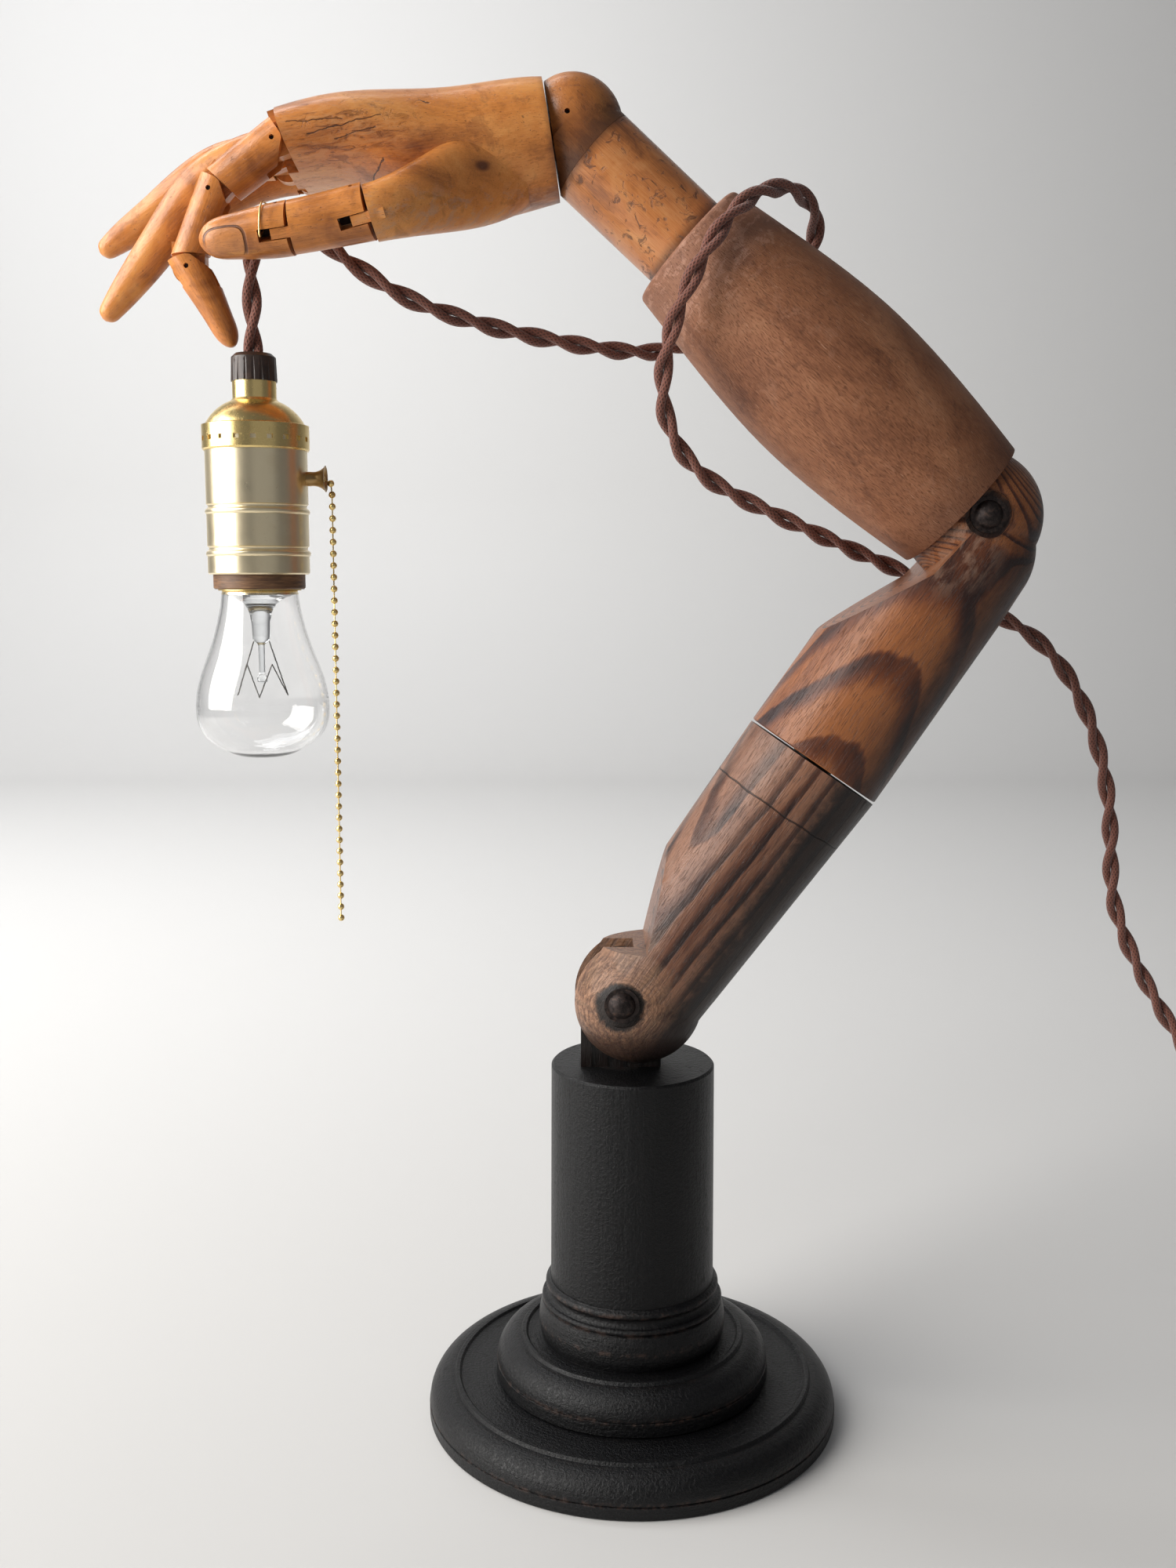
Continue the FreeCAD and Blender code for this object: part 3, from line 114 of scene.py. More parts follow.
# Pieces of cord. A piece runs from halfway past the route's point with the first number to halfway past
# the one with the second, apart from 0, 1 and LAST. The bodies that it follows come next, and then the
# CAD pieces that it stands for.
CORD_PIECES = (
    ("twist_drop", 0, 1, ("lamp",), ("cord_drop",)),
    ("twist_hold", 1, 5, ("thumb_distal",), ("cord_hold",)),
    ("twist_thumb", 5, 6, ("thumb_distal", "thumb_proximal"), ("cord_thumb",)),
    ("twist_web", 6, 7, ("thumb_proximal", "hand"), ("cord_palm",)),
    ("twist_palm", 7, 8, ("hand", "wrist"), ()),
    ("twist_wrist", 8, 10, ("wrist", "forearm"), ("cord_wrist",)),
    ("twist_wrap", 10, 23, ("forearm",), ("cord_wrap",)),
    ("twist_elbow", 23, 31, ("forearm", "upper_arm"), ("cord_elbow",)),
    ("twist_turn", 31, 34, ("upper_arm", "lower_arm"), ("cord_turn",)),
    ("twist_lean", 34, 43, ("lower_arm", "base"), ("cord_lean",)),
    ("twist_tail", 43, LAST, ("base",), ("cord_tail", "cord_coil")),
)
# Where the camera stands, in metres, how far it looks down, in degrees, and its lens, in millimetres.
CAMERA_PLACE = (-0.0164, -0.5432, 0.3077)
CAMERA_DIP = 7.57
CAMERA_LENS = 35.1
# Length, width and height of the dark block that paints the shade in a slot of the thumb, and how far it sits
# from the pin.
PLUG_SIZE = (0.0034, 0.0040, 0.0031)
PLUG_REACH = 0.00485


def size(name, text, value):
    return FloatProperty(name=name, description=text, default=value, unit="LENGTH", precision=5)


def colour(name, text, value):
    return FloatVectorProperty(
        name=name, description=text, default=value, subtype="COLOR", size=3, min=0, max=1,
    )


class ArmLampSizes(bpy.types.PropertyGroup):
    """Lengths of the pieces that are modelled here."""

    strand_radius: size("Strand radius", "Half the thickness of one cloth-covered wire", 0.00160)
    strand_offset: size("Strand offset", "From the cord's line to the middle of a strand", 0.00162)
    twist: size("Twist", "Length of one full twist of the pair", 0.0320)
    coil_radius: size("Coil radius", "From the coil's middle to the middle of its turns", 0.0360)
    coil_turns: FloatProperty(name="Coil turns", description="Turns of the coil", default=3.5)
    bead: size("Bead", "Diameter of one ball of the pull chain", 0.00235)
    bead_pitch: size("Bead pitch", "From one ball to the next", 0.0039)
    link: size("Link", "Half the thickness of the wire between two balls", 0.00024)
    edge: size("Edge", "Rounding of the wooden edges", 0.0005)
    beads: IntProperty(name="Beads", description="Balls on the hanging chain", default=38)


class ArmLampColours(bpy.types.PropertyGroup):
    """Colours of the finishes."""

    hand_light: colour("Hand light", "Polished high spots of the hand", tone(234, 166, 94))
    hand_mid: colour("Hand", "Main colour of the hand", tone(206, 130, 64))
    hand_dark: colour("Hand dark", "Grain and dirt of the hand", tone(120, 64, 28))
    shaft: colour("Wrist shaft", "Honey-coloured wood of the wrist", tone(190, 118, 62))
    sleeve_light: colour("Sleeve light", "Rubbed wood of the forearm", tone(176, 124, 90))
    sleeve_mid: colour("Sleeve", "Main colour of the forearm", tone(142, 92, 62))
    sleeve_dark: colour("Sleeve dark", "Grain of the forearm", tone(98, 56, 34))
    arm_light: colour("Upper arm light", "Orange wood between the dark bands", tone(148, 91, 52))
    arm_mid: colour("Upper arm", "Main colour of the upper arm", tone(106, 58, 33))
    arm_dark: colour("Upper arm dark", "Dark bands of the upper arm", tone(44, 21, 17))
    worn: colour("Worn wood", "Bare pale wood at the shoulder", tone(168, 128, 98))
    paint: colour("Black paint", "Paint of the base", tone(7, 7, 8))
    bared: colour("Rubbed edge", "Brown showing through the paint", tone(64, 50, 44))
    brass: colour("Brass", "Polished brass", (0.92, 0.70, 0.30))
    pale_brass: colour("Pale brass", "Lacquered brass of the shell", (0.95, 0.82, 0.56))
    old_brass: colour("Old brass", "Darkened brass of the chain guide", (0.42, 0.27, 0.12))
    cloth: colour("Cord cloth", "Braided cover of the cord", tone(112, 66, 52))
    cloth_dark: colour("Cord shadow", "Between the threads", tone(52, 28, 24))
    bakelite: colour("Bakelite", "Grip and rim", tone(58, 42, 34))
    steel: colour("Dark steel", "Bolts and pins", tone(58, 50, 48))
    floor: colour("Floor", "Studio floor", tone(206, 205, 203))


def sizes():
    return bpy.context.scene.arm_lamp_sizes


def colours():
    return bpy.context.scene.arm_lamp_colours


# ---- materials --------------------------------------------------------------------------------------


class Socket:
    """A number in a material, so that shader maths can be written as an expression."""

    def __init__(self, paint, link):
        self.paint = paint
        self.link = link

    def maths(self, operation, first, second=None):
        values = {0: first} if second is None else {0: first, 1: second}
        made = self.paint.node("ShaderNodeMath", {"operation": operation}, values)
        return Socket(self.paint, made.outputs[0])

    def __add__(self, other):
        return self.maths("ADD", self, other)

    def __sub__(self, other):
        return self.maths("SUBTRACT", self, other)

    def __mul__(self, other):
        return self.maths("MULTIPLY", self, other)

    def __truediv__(self, other):
        return self.maths("DIVIDE", self, other)

    def __rsub__(self, other):
        return self.maths("SUBTRACT", other, self)

    __radd__ = __add__
    __rmul__ = __mul__

    def sine(self):
        return self.maths("SINE", self)

    def root(self):
        return self.maths("SQRT", self)

    def fraction(self):
        return self.maths("FRACT", self)

    def size(self):
        return self.maths("ABSOLUTE", self)

    def most(self, other):
        return self.maths("MAXIMUM", self, other)

    def power(self, other):
        return self.maths("POWER", self, other)

    def angle(self, other):
        return self.maths("ARCTAN2", self, other)

    def step(self, low, high):
        """Smooth step from 0 at low to 1 at high."""
        settings = {"interpolation_type": "SMOOTHSTEP"}
        made = self.paint.node("ShaderNodeMapRange", settings, {0: self, 1: low, 2: high, 3: 0.0, 4: 1.0})
        return Socket(self.paint, made.outputs[0])


class Paint:
    """Builds one procedural material. Its place is in millimetres, with x along the piece."""

    def __init__(self, name, centre=(0.0, 0.0, 0.0), heading=0.0, attribute=None):
        self.material = bpy.data.materials.new(name)
        self.material.use_nodes = True
        self.tree = self.material.node_tree
        self.tree.nodes.clear()
        self.shader = self.node("ShaderNodeBsdfPrincipled")
        output = self.node("ShaderNodeOutputMaterial", inputs={0: self.shader.outputs[0]})
        output.is_active_output = True
        if attribute:
            source = self.node("ShaderNodeAttribute", {"attribute_name": attribute}).outputs["Vector"]
            turn, step = (0.0, 0.0, 0.0), (1.0, 1.0, 1.0)
        else:
            source = self.node("ShaderNodeTexCoord").outputs["Object"]
            turn, step = (0.0, -math.radians(heading), 0.0), (MM, MM, MM)
        place = {0: source, "Location": [c * step[0] for c in centre], "Rotation": turn, "Scale": step}
        self.place = self.node("ShaderNodeMapping", {"vector_type": "TEXTURE"}, place).outputs[0]
        split = self.node("ShaderNodeSeparateXYZ", inputs={0: self.place})
        self.x, self.y, self.z = (Socket(self, out) for out in split.outputs)

    def node(self, kind, settings=None, inputs=None):
        """Node of a kind. Settings go first, then the values or links of its sockets."""
        made = self.tree.nodes.new(kind)
        for key, value in (settings or {}).items():
            if key == "stops":
                self.set_stops(made.color_ramp, value)
            else:
                setattr(made, key, value)
        for key, value in (inputs or {}).items():
            self.feed(made.inputs[key], value)
        return made

    def feed(self, socket, value):
        """Links a socket, or sets its value. A colour of three numbers gets its fourth."""
        if isinstance(value, Socket):
            value = value.link
        if isinstance(value, bpy.types.NodeSocket):
            self.tree.links.new(value, socket)
        elif socket.type == "RGBA" and len(value) == 3:
            socket.default_value = (*value, 1.0)
        else:
            socket.default_value = value

    def set_stops(self, ramp, stops):
        while len(ramp.elements) < len(stops):
            ramp.elements.new(0.5)
        for element, (position, value) in zip(ramp.elements, stops):
            element.position = position
            element.color = (*value, 1.0)

    def noise(self, grain, stretch=(1.0, 1.0, 1.0), detail=3.0, rough=0.5, bend=0.0, shift=0.0, of=None):
        """Noise with features of about grain millimetres, stretched along the piece's axes."""
        scale = [1.0 / (grain * s) for s in stretch]
        inputs = {0: of or self.place, "Location": (shift, shift * 0.7, shift * 1.3), "Scale": scale}
        vector = self.node("ShaderNodeMapping", {"vector_type": "POINT"}, inputs).outputs[0]
        inputs = {"Vector": vector, "Scale": 1.0, "Detail": detail, "Roughness": rough, "Distortion": bend}
        return Socket(self, self.node("ShaderNodeTexNoise", {"noise_dimensions": "3D"}, inputs).outputs[0])

    def ramp(self, value, stops):
        return self.node("ShaderNodeValToRGB", {"stops": stops}, {0: value}).outputs[0]

    def mix(self, share, first, second):
        made = self.node("ShaderNodeMix", {"data_type": "RGBA"}, {0: share, 6: first, 7: second})
        return made.outputs[2]

    def bump(self, height, depth, strength=1.0):
        inputs = {"Height": height, "Distance": depth * MM, "Strength": strength}
        bumped = self.node("ShaderNodeBump", inputs=inputs).outputs[0]
        self.tree.links.new(bumped, self.shader.inputs["Normal"])

    def finish(self, base, roughness, **fixed):
        """Connects colour and roughness, and sets the fixed values of the shader by their names."""
        values = {"Base Color": base, "Roughness": roughness}
        values.update({key.replace("_", " "): value for key, value in fixed.items()})
        for key, value in values.items():
            self.feed(self.shader.inputs[key], value)
        return self.material

    def spot(self, x, z, wide, high, soft=0.25):
        """1 inside an upright ellipse on the piece's side, falling to 0 at its edge."""
        across, up = (self.x - x) / wide, (self.z - z) / high
        return 1 - (across * across + up * up).root().step(1 - soft, 1 + soft)

    def line(self, start, end, width, wander=0.0):
        """1 along a scratch or crack, seen from the side. It wanders off its line by some millimetres."""
        (x1, z1), (x2, z2) = start, end
        length = math.hypot(x2 - x1, z2 - z1)
        cx, cz = (x2 - x1) / length, (z2 - z1) / length
        along = (self.x - x1) * cx + (self.z - z1) * cz
        off = ((self.x - x1) * -cz + (self.z - z1) * cx + wander).size()
        ends = along.step(-width, width) * (1 - along.step(length - width, length + width))
        return (1 - off.step(width * 0.35, width)) * ends


def wood_figure(paint, centre_y, centre_z, spacing, wander, slope):
    """Growth rings round an axis beside the piece, from 0 to 1 across each ring."""
    y, z = paint.y - centre_y, paint.z - centre_z
    sway = (paint.noise(34.0, (3.0, 1.0, 1.0), 3.0, 0.5, 0.3, 3.0) - 0.5) * wander
    radius = (y * y + z * z).root() + paint.x * slope + sway
    return (radius / spacing).fraction()


def streaks(paint, fine, length, shift=0.0):
    return paint.noise(fine, (length, 1.0, 1.0), 2.0, 0.6, 0.0, shift)


def hand_wood(name, centre, heading, spread=1.0, marks=None):
    """Honey-brown, handled wood with faint grain, cloudy varnish and dirt in its pores."""
    c = colours()
    paint = Paint(name, centre, heading)
    fine = streaks(paint, 0.45, 22.0)
    cloud = paint.noise(19.0, (1.5, 1.0, 1.0), 5.0, 0.58, 0.7, 11.0)
    pores = streaks(paint, 0.24, 9.0, 5.0).step(0.62, 0.72)
    specks = paint.noise(0.9, (1.8, 1.0, 1.0), 2.0, 0.6, 0.0, 21.0).step(0.69, 0.75)
    tint = fine * 0.16 + cloud * 0.86
    base = paint.ramp(tint, ((0.30, c.hand_dark), (0.50, c.hand_mid), (0.74, c.hand_light)))
    base = paint.mix(pores * 0.28, base, c.hand_dark)
    base = paint.mix(specks * 0.60, base, tone(70, 38, 20))
    rubbed = paint.noise(9.0, (1.0, 1.0, 1.0), 6.0, 0.68, 0.9, 31.0).step(0.54, 0.66)
    base = paint.mix(rubbed * 0.34 * spread, base, tone(112, 60, 30))
    dents = paint.noise(4.2, (1.6, 1.0, 1.0), 3.0, 0.6, 0.3, 8.0)
    height = fine * 0.18 + dents * 0.7 - pores * 0.3 - specks * 0.3
    shine = 0.27 + rubbed * 0.18 + specks * 0.1 + dents * 0.08
    for share, shade, sunk in marks(paint) if marks else ():
        base = paint.mix(share, base, shade)
        height = height - share * sunk
        shine = shine + share * 0.10
    paint.bump(height, 0.30)
    return paint.finish(base, shine, Coat_Weight=0.18, Coat_Roughness=0.20, Specular_IOR_Level=0.4)


def palm_marks(paint):
    """A knot, two weathered cracks, grey dust under the hand, and dirt with painted shade near the joint
    faces where the fingers and the wrist meet it.
    """
    dark = tone(58, 30, 16)
    yield paint.spot(24.2, 10.6, 2.2, 1.6, 0.5), tone(82, 44, 24), 0.2
    yield paint.spot(24.2, 10.6, 4.6, 3.0, 0.6) * 0.35, tone(130, 76, 40), 0.0
    rough = paint.noise(2.2, (3.4, 1.0, 1.0), 5.0, 0.72, 0.8, 4.0)
    near = paint.spot(68.0, -5.5, 22.0, 9.0, 0.8)
    yield near * rough.step(0.46, 0.60) * 0.45, tone(214, 160, 108), -0.3
    yield near * (1 - rough.step(0.38, 0.46)) * 0.60, tone(92, 48, 24), 0.9
    wander = (paint.noise(5.0, (1.0, 1.0, 1.0), 3.0, 0.6, 0.0, 14.0) - 0.5) * 2.4
    for start, end, width in PALM_CRACKS:
        yield paint.line(start, end, width, wander) * 0.8, dark, 1.2
    under = paint.z.step(13.0, 24.0) * (1 - paint.x.step(56.0, 74.0))
    dust = paint.noise(3.4, (2.4, 1.0, 1.0), 5.0, 0.7, 0.4, 41.0).step(0.46, 0.66)
    yield under * dust * 0.45, tone(176, 152, 136), 0.0
    # Dirt and painted shade: darker towards the finger end and the wrist end, where the parts meet.
    yield paint.x.step(90.0, 98.0) * 0.45, tone(110, 60, 30), 0.0
    yield (1 - paint.x.step(-1.0, 3.0)) * 0.7, tone(70, 38, 22), 0.0


def nail_marks(centre_x, centre_z, wide, high, side):
    """An engraved fingernail with rounded corners on the face that looks towards the viewer."""

    def marks(paint):
        facing = 1 - paint.y.step(side - 1.5, side + 0.5)
        across = ((paint.x - centre_x) / wide).size().power(3.2)
        up = ((paint.z - centre_z) / high).size().power(3.2)
        reach = (across + up).power(1 / 3.2)
        groove = reach.step(0.88, 0.94) * (1 - reach.step(1.0, 1.06))
        yield groove * facing * 0.85, tone(84, 44, 22), 1.8
        yield (1 - reach.step(0.86, 0.92)) * facing * 0.30, tone(214, 150, 98), -0.3

    return marks


def sleeve_wood(name, centre, heading):
    """Brown, handled wood of the forearm, blotched, with short dark flecks and scuffs near its rim."""
    c = colours()
    paint = Paint(name, centre, heading)
    fine = streaks(paint, 0.34, 16.0, 2.0)
    cloud = paint.noise(21.0, (2.0, 1.0, 1.0), 5.0, 0.62, 0.7, 6.0)
    flecks = streaks(paint, 0.26, 9.0, 9.0).step(0.57, 0.68)
    tint = fine * 0.36 + cloud * 0.68
    base = paint.ramp(tint, ((0.34, c.sleeve_dark), (0.52, c.sleeve_mid), (0.76, c.sleeve_light)))
    base = paint.mix(flecks * 0.50, base, c.sleeve_dark)
    blotch = paint.noise(7.0, (1.3, 1.0, 1.0), 6.0, 0.7, 0.9, 17.0)
    base = paint.mix(blotch.step(0.54, 0.68) * 0.32, base, tone(164, 118, 92))
    base = paint.mix((1 - blotch.step(0.32, 0.42)) * 0.45, base, tone(82, 46, 28))
    scuff = paint.noise(2.6, (1.0, 2.2, 2.2), 5.0, 0.7, 0.4, 28.0).step(0.52, 0.60)
    rim = paint.x.step(104.0, 126.0) * scuff
    base = paint.mix(rim * 0.60, base, tone(200, 152, 128))
    base = paint.mix(paint.x.step(112.0, 122.0) * 0.35, base, tone(176, 132, 112))
    # Dirt and painted shade: darker at the elbow end, where the forearm meets the upper arm.
    heel = 1 - paint.x.step(6.0, 26.0)
    base = paint.mix(heel * 0.45, base, tone(58, 34, 26))
    scratch = streaks(paint, 0.5, 14.0, 33.0).step(0.70, 0.73)
    base = paint.mix(scratch * 0.5, base, tone(188, 146, 118))
    paint.bump(fine * 0.4 - flecks * 0.5 + cloud * 0.4 + blotch * 0.7, 0.30)
    shine = 0.40 + blotch * 0.22 + fine * 0.08
    return paint.finish(base, shine, Coat_Weight=0.05, Coat_Roughness=0.32, Specular_IOR_Level=0.35)


def arm_wood(name, centre, heading, shades, rings_at, marks=None):
    """Varnished softwood. Its shades are light, middle and dark, and its rings lie round an axis at
    (y, z), a spacing apart, wandering by some millimetres and sloping along the piece."""
    light, mid, dark = shades
    paint = Paint(name, centre, heading)
    rings = wood_figure(paint, *rings_at)
    late = rings.step(0.42, 0.84) * (1 - rings.step(0.90, 1.0))
    fine = streaks(paint, 0.42, 24.0, 1.0)
    cloud = paint.noise(24.0, (2.2, 1.0, 1.0), 5.0, 0.6, 0.7, 14.0)
    tint = late * 0.46 + (cloud - 0.46) * 1.25 + (fine - 0.5) * 0.40
    base = paint.ramp(tint, ((0.0, light), (0.26, mid), (0.60, dark)))
    lines = streaks(paint, 0.28, 18.0, 9.0).step(0.57, 0.66)
    base = paint.mix(lines * 0.50, base, dark)
    height = fine * 0.5 - late * 0.3 - lines * 0.4
    shine = 0.30 + cloud * 0.14 + lines * 0.1
    for share, shade, sunk in marks(paint) if marks else ():
        base = paint.mix(share, base, shade)
        height = height - share * sunk
        shine = shine + share * 0.10
    paint.bump(height, 0.30)
    return paint.finish(base, shine, Coat_Weight=0.12, Coat_Roughness=0.22, Specular_IOR_Level=0.35)


def lower_arm_marks(paint):
    """Rubbed wood round the shoulder bolt, a hairline seam, painted shade on the lower side and a dark rim to
    the worn recess, which is a painted shadow.
    """
    c = colours()
    ragged = paint.noise(6.0, (1.0, 1.0, 1.0), 5.0, 0.68, 0.6, 2.0)
    grain = paint.noise(1.2, (9.0, 1.0, 1.0), 4.0, 0.65, 0.2, 7.0)
    near = paint.x + (ragged - 0.5) * 30.0 - paint.z * 0.35
    bare = 1 - near.step(-102.0, -84.0)
    yield bare * (grain * 0.9 + 0.1), c.worn, 0.0
    yield bare * (1 - grain.step(0.40, 0.52)) * 0.65, tone(84, 56, 44), 0.4
    # Painted shade: the bare wood darker towards its lower side.
    yield bare * (1 - paint.z.step(-26.0, -6.0)) * 0.80, tone(44, 27, 22), 0.0
    grey = paint.noise(13.0, (2.2, 1.0, 1.0), 5.0, 0.62, 0.5, 27.0).step(0.42, 0.64)
    yield grey * paint.z.step(2.0, 18.0) * 0.35, tone(146, 114, 96), 0.0
    # Painted shade: the lower side of the lower arm goes nearly black.
    shade = paint.z + (ragged - 0.5) * 14.0
    yield (1 - shade.step(-12.0, -1.0)) * 0.92, tone(14, 7, 6), 0.0
    x, z = paint.x + 109.0, paint.z - 8.8
    radius = (x * x + z * z).root() + (ragged - 0.5) * 7.0
    # Painted shade: the bottom of the shoulder ball darkened.
    down = x * -0.825 - z * 0.565
    yield (down + (ragged - 0.5) * 12.0).step(3.0, 15.0) * 0.80, tone(36, 21, 16), 0.0
    turns = paint.noise(0.9, (1.0, 1.0, 1.0), 2.0, 0.5, 0.0, 51.0)
    growth = ((radius * 0.62 + turns).fraction()).step(0.45, 0.8) * (1 - radius.step(15.0, 22.0))
    yield growth * 0.40, tone(70, 44, 34), 0.3
    # Painted shadow in the recess round the shoulder bolt.
    yield (1 - radius.step(7.6, 9.6)) * 0.96, tone(14, 10, 9), 0.8
    seam = (paint.x + 20.5 + (paint.noise(9.0, (1.0, 1.0, 1.0), 2.0, 0.5, 0.0, 5.0) - 0.5) * 1.6).size()
    yield (1 - seam.step(0.1, 0.42)) * 0.85, tone(24, 14, 12), 1.2


def upper_arm_marks(paint):
    """A greyed patch beside the elbow bolt and painted shade on the outside."""
    rough = paint.noise(5.0, (2.0, 1.0, 1.0), 5.0, 0.66, 0.4, 3.0)
    patch = paint.spot(88.0, 5.0, 15.0, 11.0, 0.7)
    yield patch * rough.step(0.44, 0.60) * 0.50, tone(158, 126, 106), 0.2
    # Painted shade: the lower, outer side of the upper arm goes nearly black.
    shade = paint.z + (rough - 0.5) * 12.0
    yield (1 - shade.step(-19.0, -7.0)) * 0.82, tone(24, 11, 9), 0.0
    x, z = paint.x - 101.7, paint.z - 3.9
    radius = (x * x + z * z).root() + (rough - 0.5) * 3.0
    yield (1 - radius.step(7.0, 9.5)) * 0.85, tone(26, 16, 13), 0.4


def base_paint(name, upright):
    """Satin black brushed on wood. Upright pieces show the brush along their length, discs round them."""
    c = colours()
    paint = Paint(name)
    turn = paint.y.angle(paint.x) * 30.0
    reach = (paint.x * paint.x + paint.y * paint.y).root()
    polar = paint.node("ShaderNodeCombineXYZ", inputs={0: turn, 1: reach, 2: paint.z}).outputs[0]
    along = (1.0, 1.0, 26.0) if upright else (20.0, 1.0, 1.4)
    brush = paint.noise(0.55, along, 3.0, 0.6, 0.1, 0.0, polar)
    broad = paint.noise(2.6, (1.0, 1.0, 12.0) if upright else (10.0, 1.0, 1.0), 2.0, 0.5, 0.0, 4.0, polar)
    pits = paint.noise(1.1, (1.0, 1.0, 1.0), 4.0, 0.68, 0.2, 13.0)
    dust = paint.noise(6.0, (1.0, 1.0, 1.0), 6.0, 0.72, 0.3, 23.0).step(0.56, 0.70)
    base = paint.mix(brush.step(0.4, 0.75) * 0.45, c.paint, tone(15, 15, 18))
    base = paint.mix(dust * 0.25, base, tone(36, 32, 31))
    if not upright:
        worn = None
        for radius, height in BASE_LIPS:
            r, z = reach - radius, paint.z - height
            close = 1 - (r * r + z * z).root().step(0.3, 1.5)
            worn = close if worn is None else worn.most(close)
        worn = worn * paint.noise(3.2, (1.0, 1.0, 1.0), 4.0, 0.7, 0.3, 3.0).step(0.46, 0.62)
        base = paint.mix(worn * 0.7, base, c.bared)
    paint.bump(brush * 0.5 + broad * 0.9 + pits.step(0.35, 0.75) * 0.6, 0.24)
    shine = 0.30 + brush * 0.16 + dust * 0.20
    return paint.finish(base, shine, Specular_IOR_Level=0.28)


def brass(name, base_colour, rough, tarnish):
    """Brass with cloudy tarnish and darker spots."""
    paint = Paint(name, middle_of("socket_shell") / MM)
    cloud = paint.noise(7.0, (1.0, 1.0, 1.0), 4.0, 0.6, 0.3, 3.0)
    spots = paint.noise(1.6, (1.0, 1.0, 1.0), 4.0, 0.7, 0.2, 9.0).step(0.60, 0.78)
    base = paint.mix(spots * tarnish, base_colour, tone(166, 130, 66))
    base = paint.mix(cloud.step(0.45, 0.8) * tarnish * 0.6, base, tone(190, 150, 84))
    fine = paint.noise(0.5, (1.0, 1.0, 1.0), 2.0, 0.5, 0.0, 6.0)
    paint.bump(cloud * 0.7 + fine * 0.12, 0.12, 0.7)
    return paint.finish(base, cloud * 0.12 + spots * 0.22 + rough, Metallic=1.0)


def dark_steel(name):
    c = colours()
    paint = Paint(name)
    cloud = paint.noise(1.6, (1.0, 1.0, 1.0), 5.0, 0.7, 0.4, 2.0)
    base = paint.ramp(cloud, ((0.35, tone(30, 25, 24)), (0.55, c.steel), (0.78, tone(98, 74, 60))))
    paint.bump(cloud, 0.25)
    return paint.finish(base, cloud * 0.3 + 0.32, Metallic=0.75)


def bakelite(name):
    c = colours()
    paint = Paint(name)
    cloud = paint.noise(3.0, (1.0, 1.0, 1.0), 4.0, 0.6, 0.6, 2.0)
    base = paint.ramp(cloud, ((0.3, tone(36, 26, 22)), (0.6, c.bakelite), (0.85, tone(84, 62, 48))))
    paint.bump(cloud, 0.08)
    return paint.finish(base, cloud * 0.2 + 0.28, Coat_Weight=0.2, Coat_Roughness=0.2)


def fibre(name):
    """Varnished brown fibre of the socket's liner."""
    paint = Paint(name)
    strands = paint.noise(0.7, (9.0, 9.0, 1.0), 3.0, 0.6, 0.3, 2.0)
    stops = ((0.3, tone(74, 50, 34)), (0.6, tone(120, 86, 58)), (0.85, tone(160, 122, 84)))
    base = paint.ramp(strands, stops)
    paint.bump(strands, 0.10)
    return paint.finish(base, strands * 0.2 + 0.40)


def clear_glass(name, tint, rough):
    paint = Paint(name)
    ripple = paint.noise(16.0, (1.0, 1.0, 1.0), 2.0, 0.4, 0.2, 5.0)
    dust = paint.noise(3.0, (1.0, 1.0, 1.0), 4.0, 0.7, 0.2, 15.0).step(0.62, 0.85)
    paint.bump(ripple, 0.05, 0.5)
    return paint.finish(tint, dust * 0.08 + rough, Transmission_Weight=1.0, IOR=1.45)


def painted_shade_wood(name):
    """Nearly black finish inside a slot: painted shade."""
    paint = Paint(name)
    dirt = paint.noise(0.8, (1.0, 1.0, 1.0), 4.0, 0.7, 0.3, 2.0)
    base = paint.ramp(dirt, ((0.3, tone(16, 10, 8)), (0.7, tone(46, 28, 18))))
    paint.bump(dirt, 0.2)
    return paint.finish(base, dirt * 0.2 + 0.6)


def braided_cloth(name):
    """Cotton braid on a round strand: threads cross it both ways round."""
    c = colours()
    paint = Paint(name, attribute="braid")
    around = paint.y.angle(paint.x) / (2 * math.pi)
    along = paint.z * (1 / 0.0021)
    one = ((along + around * 8.0) * math.pi).sine()
    other = ((along - around * 8.0) * math.pi).sine()
    weave = (one * one).most(other * other)
    place = paint.node("ShaderNodeTexCoord").outputs["Object"]
    fuzz = paint.noise(0.0006, (1.0, 1.0, 1.0), 3.0, 0.7, 0.0, 0.0, place)
    patch = paint.noise(0.018, (1.0, 1.0, 1.0), 3.0, 0.6, 0.0, 3.0, place)
    # The weave is painted: shade between the threads and a painted highlight on the thread tops.
    tint = weave * 0.62 + fuzz * 0.25 + patch * 0.25
    light = [min(1.0, v * 1.5) for v in c.cloth]
    base = paint.ramp(tint, ((0.20, c.cloth_dark), (0.62, c.cloth), (0.98, light)))
    paint.bump(weave + fuzz * 0.5, 0.22)
    return paint.finish(base, 0.82 - weave * 0.1, Sheen_Weight=0.25, Sheen_Roughness=0.5)


def moulded_plastic(name):
    paint = Paint(name)
    cloud = paint.noise(0.9, (1.0, 1.0, 1.0), 3.0, 0.6, 0.0, 2.0)
    base = paint.ramp(cloud, ((0.3, tone(48, 34, 28)), (0.7, tone(66, 48, 40))))
    paint.bump(cloud, 0.06)
    return paint.finish(base, cloud * 0.15 + 0.42)


def tungsten(name):
    paint = Paint(name)
    grain = paint.noise(0.6, (1.0, 1.0, 1.0), 2.0, 0.5, 0.0, 1.0)
    base = paint.ramp(grain, ((0.3, tone(90, 88, 86)), (0.7, tone(150, 148, 144))))
    return paint.finish(base, grain * 0.2 + 0.3, Metallic=0.9)


# ---- meshes -----------------------------------------------------------------------------------------


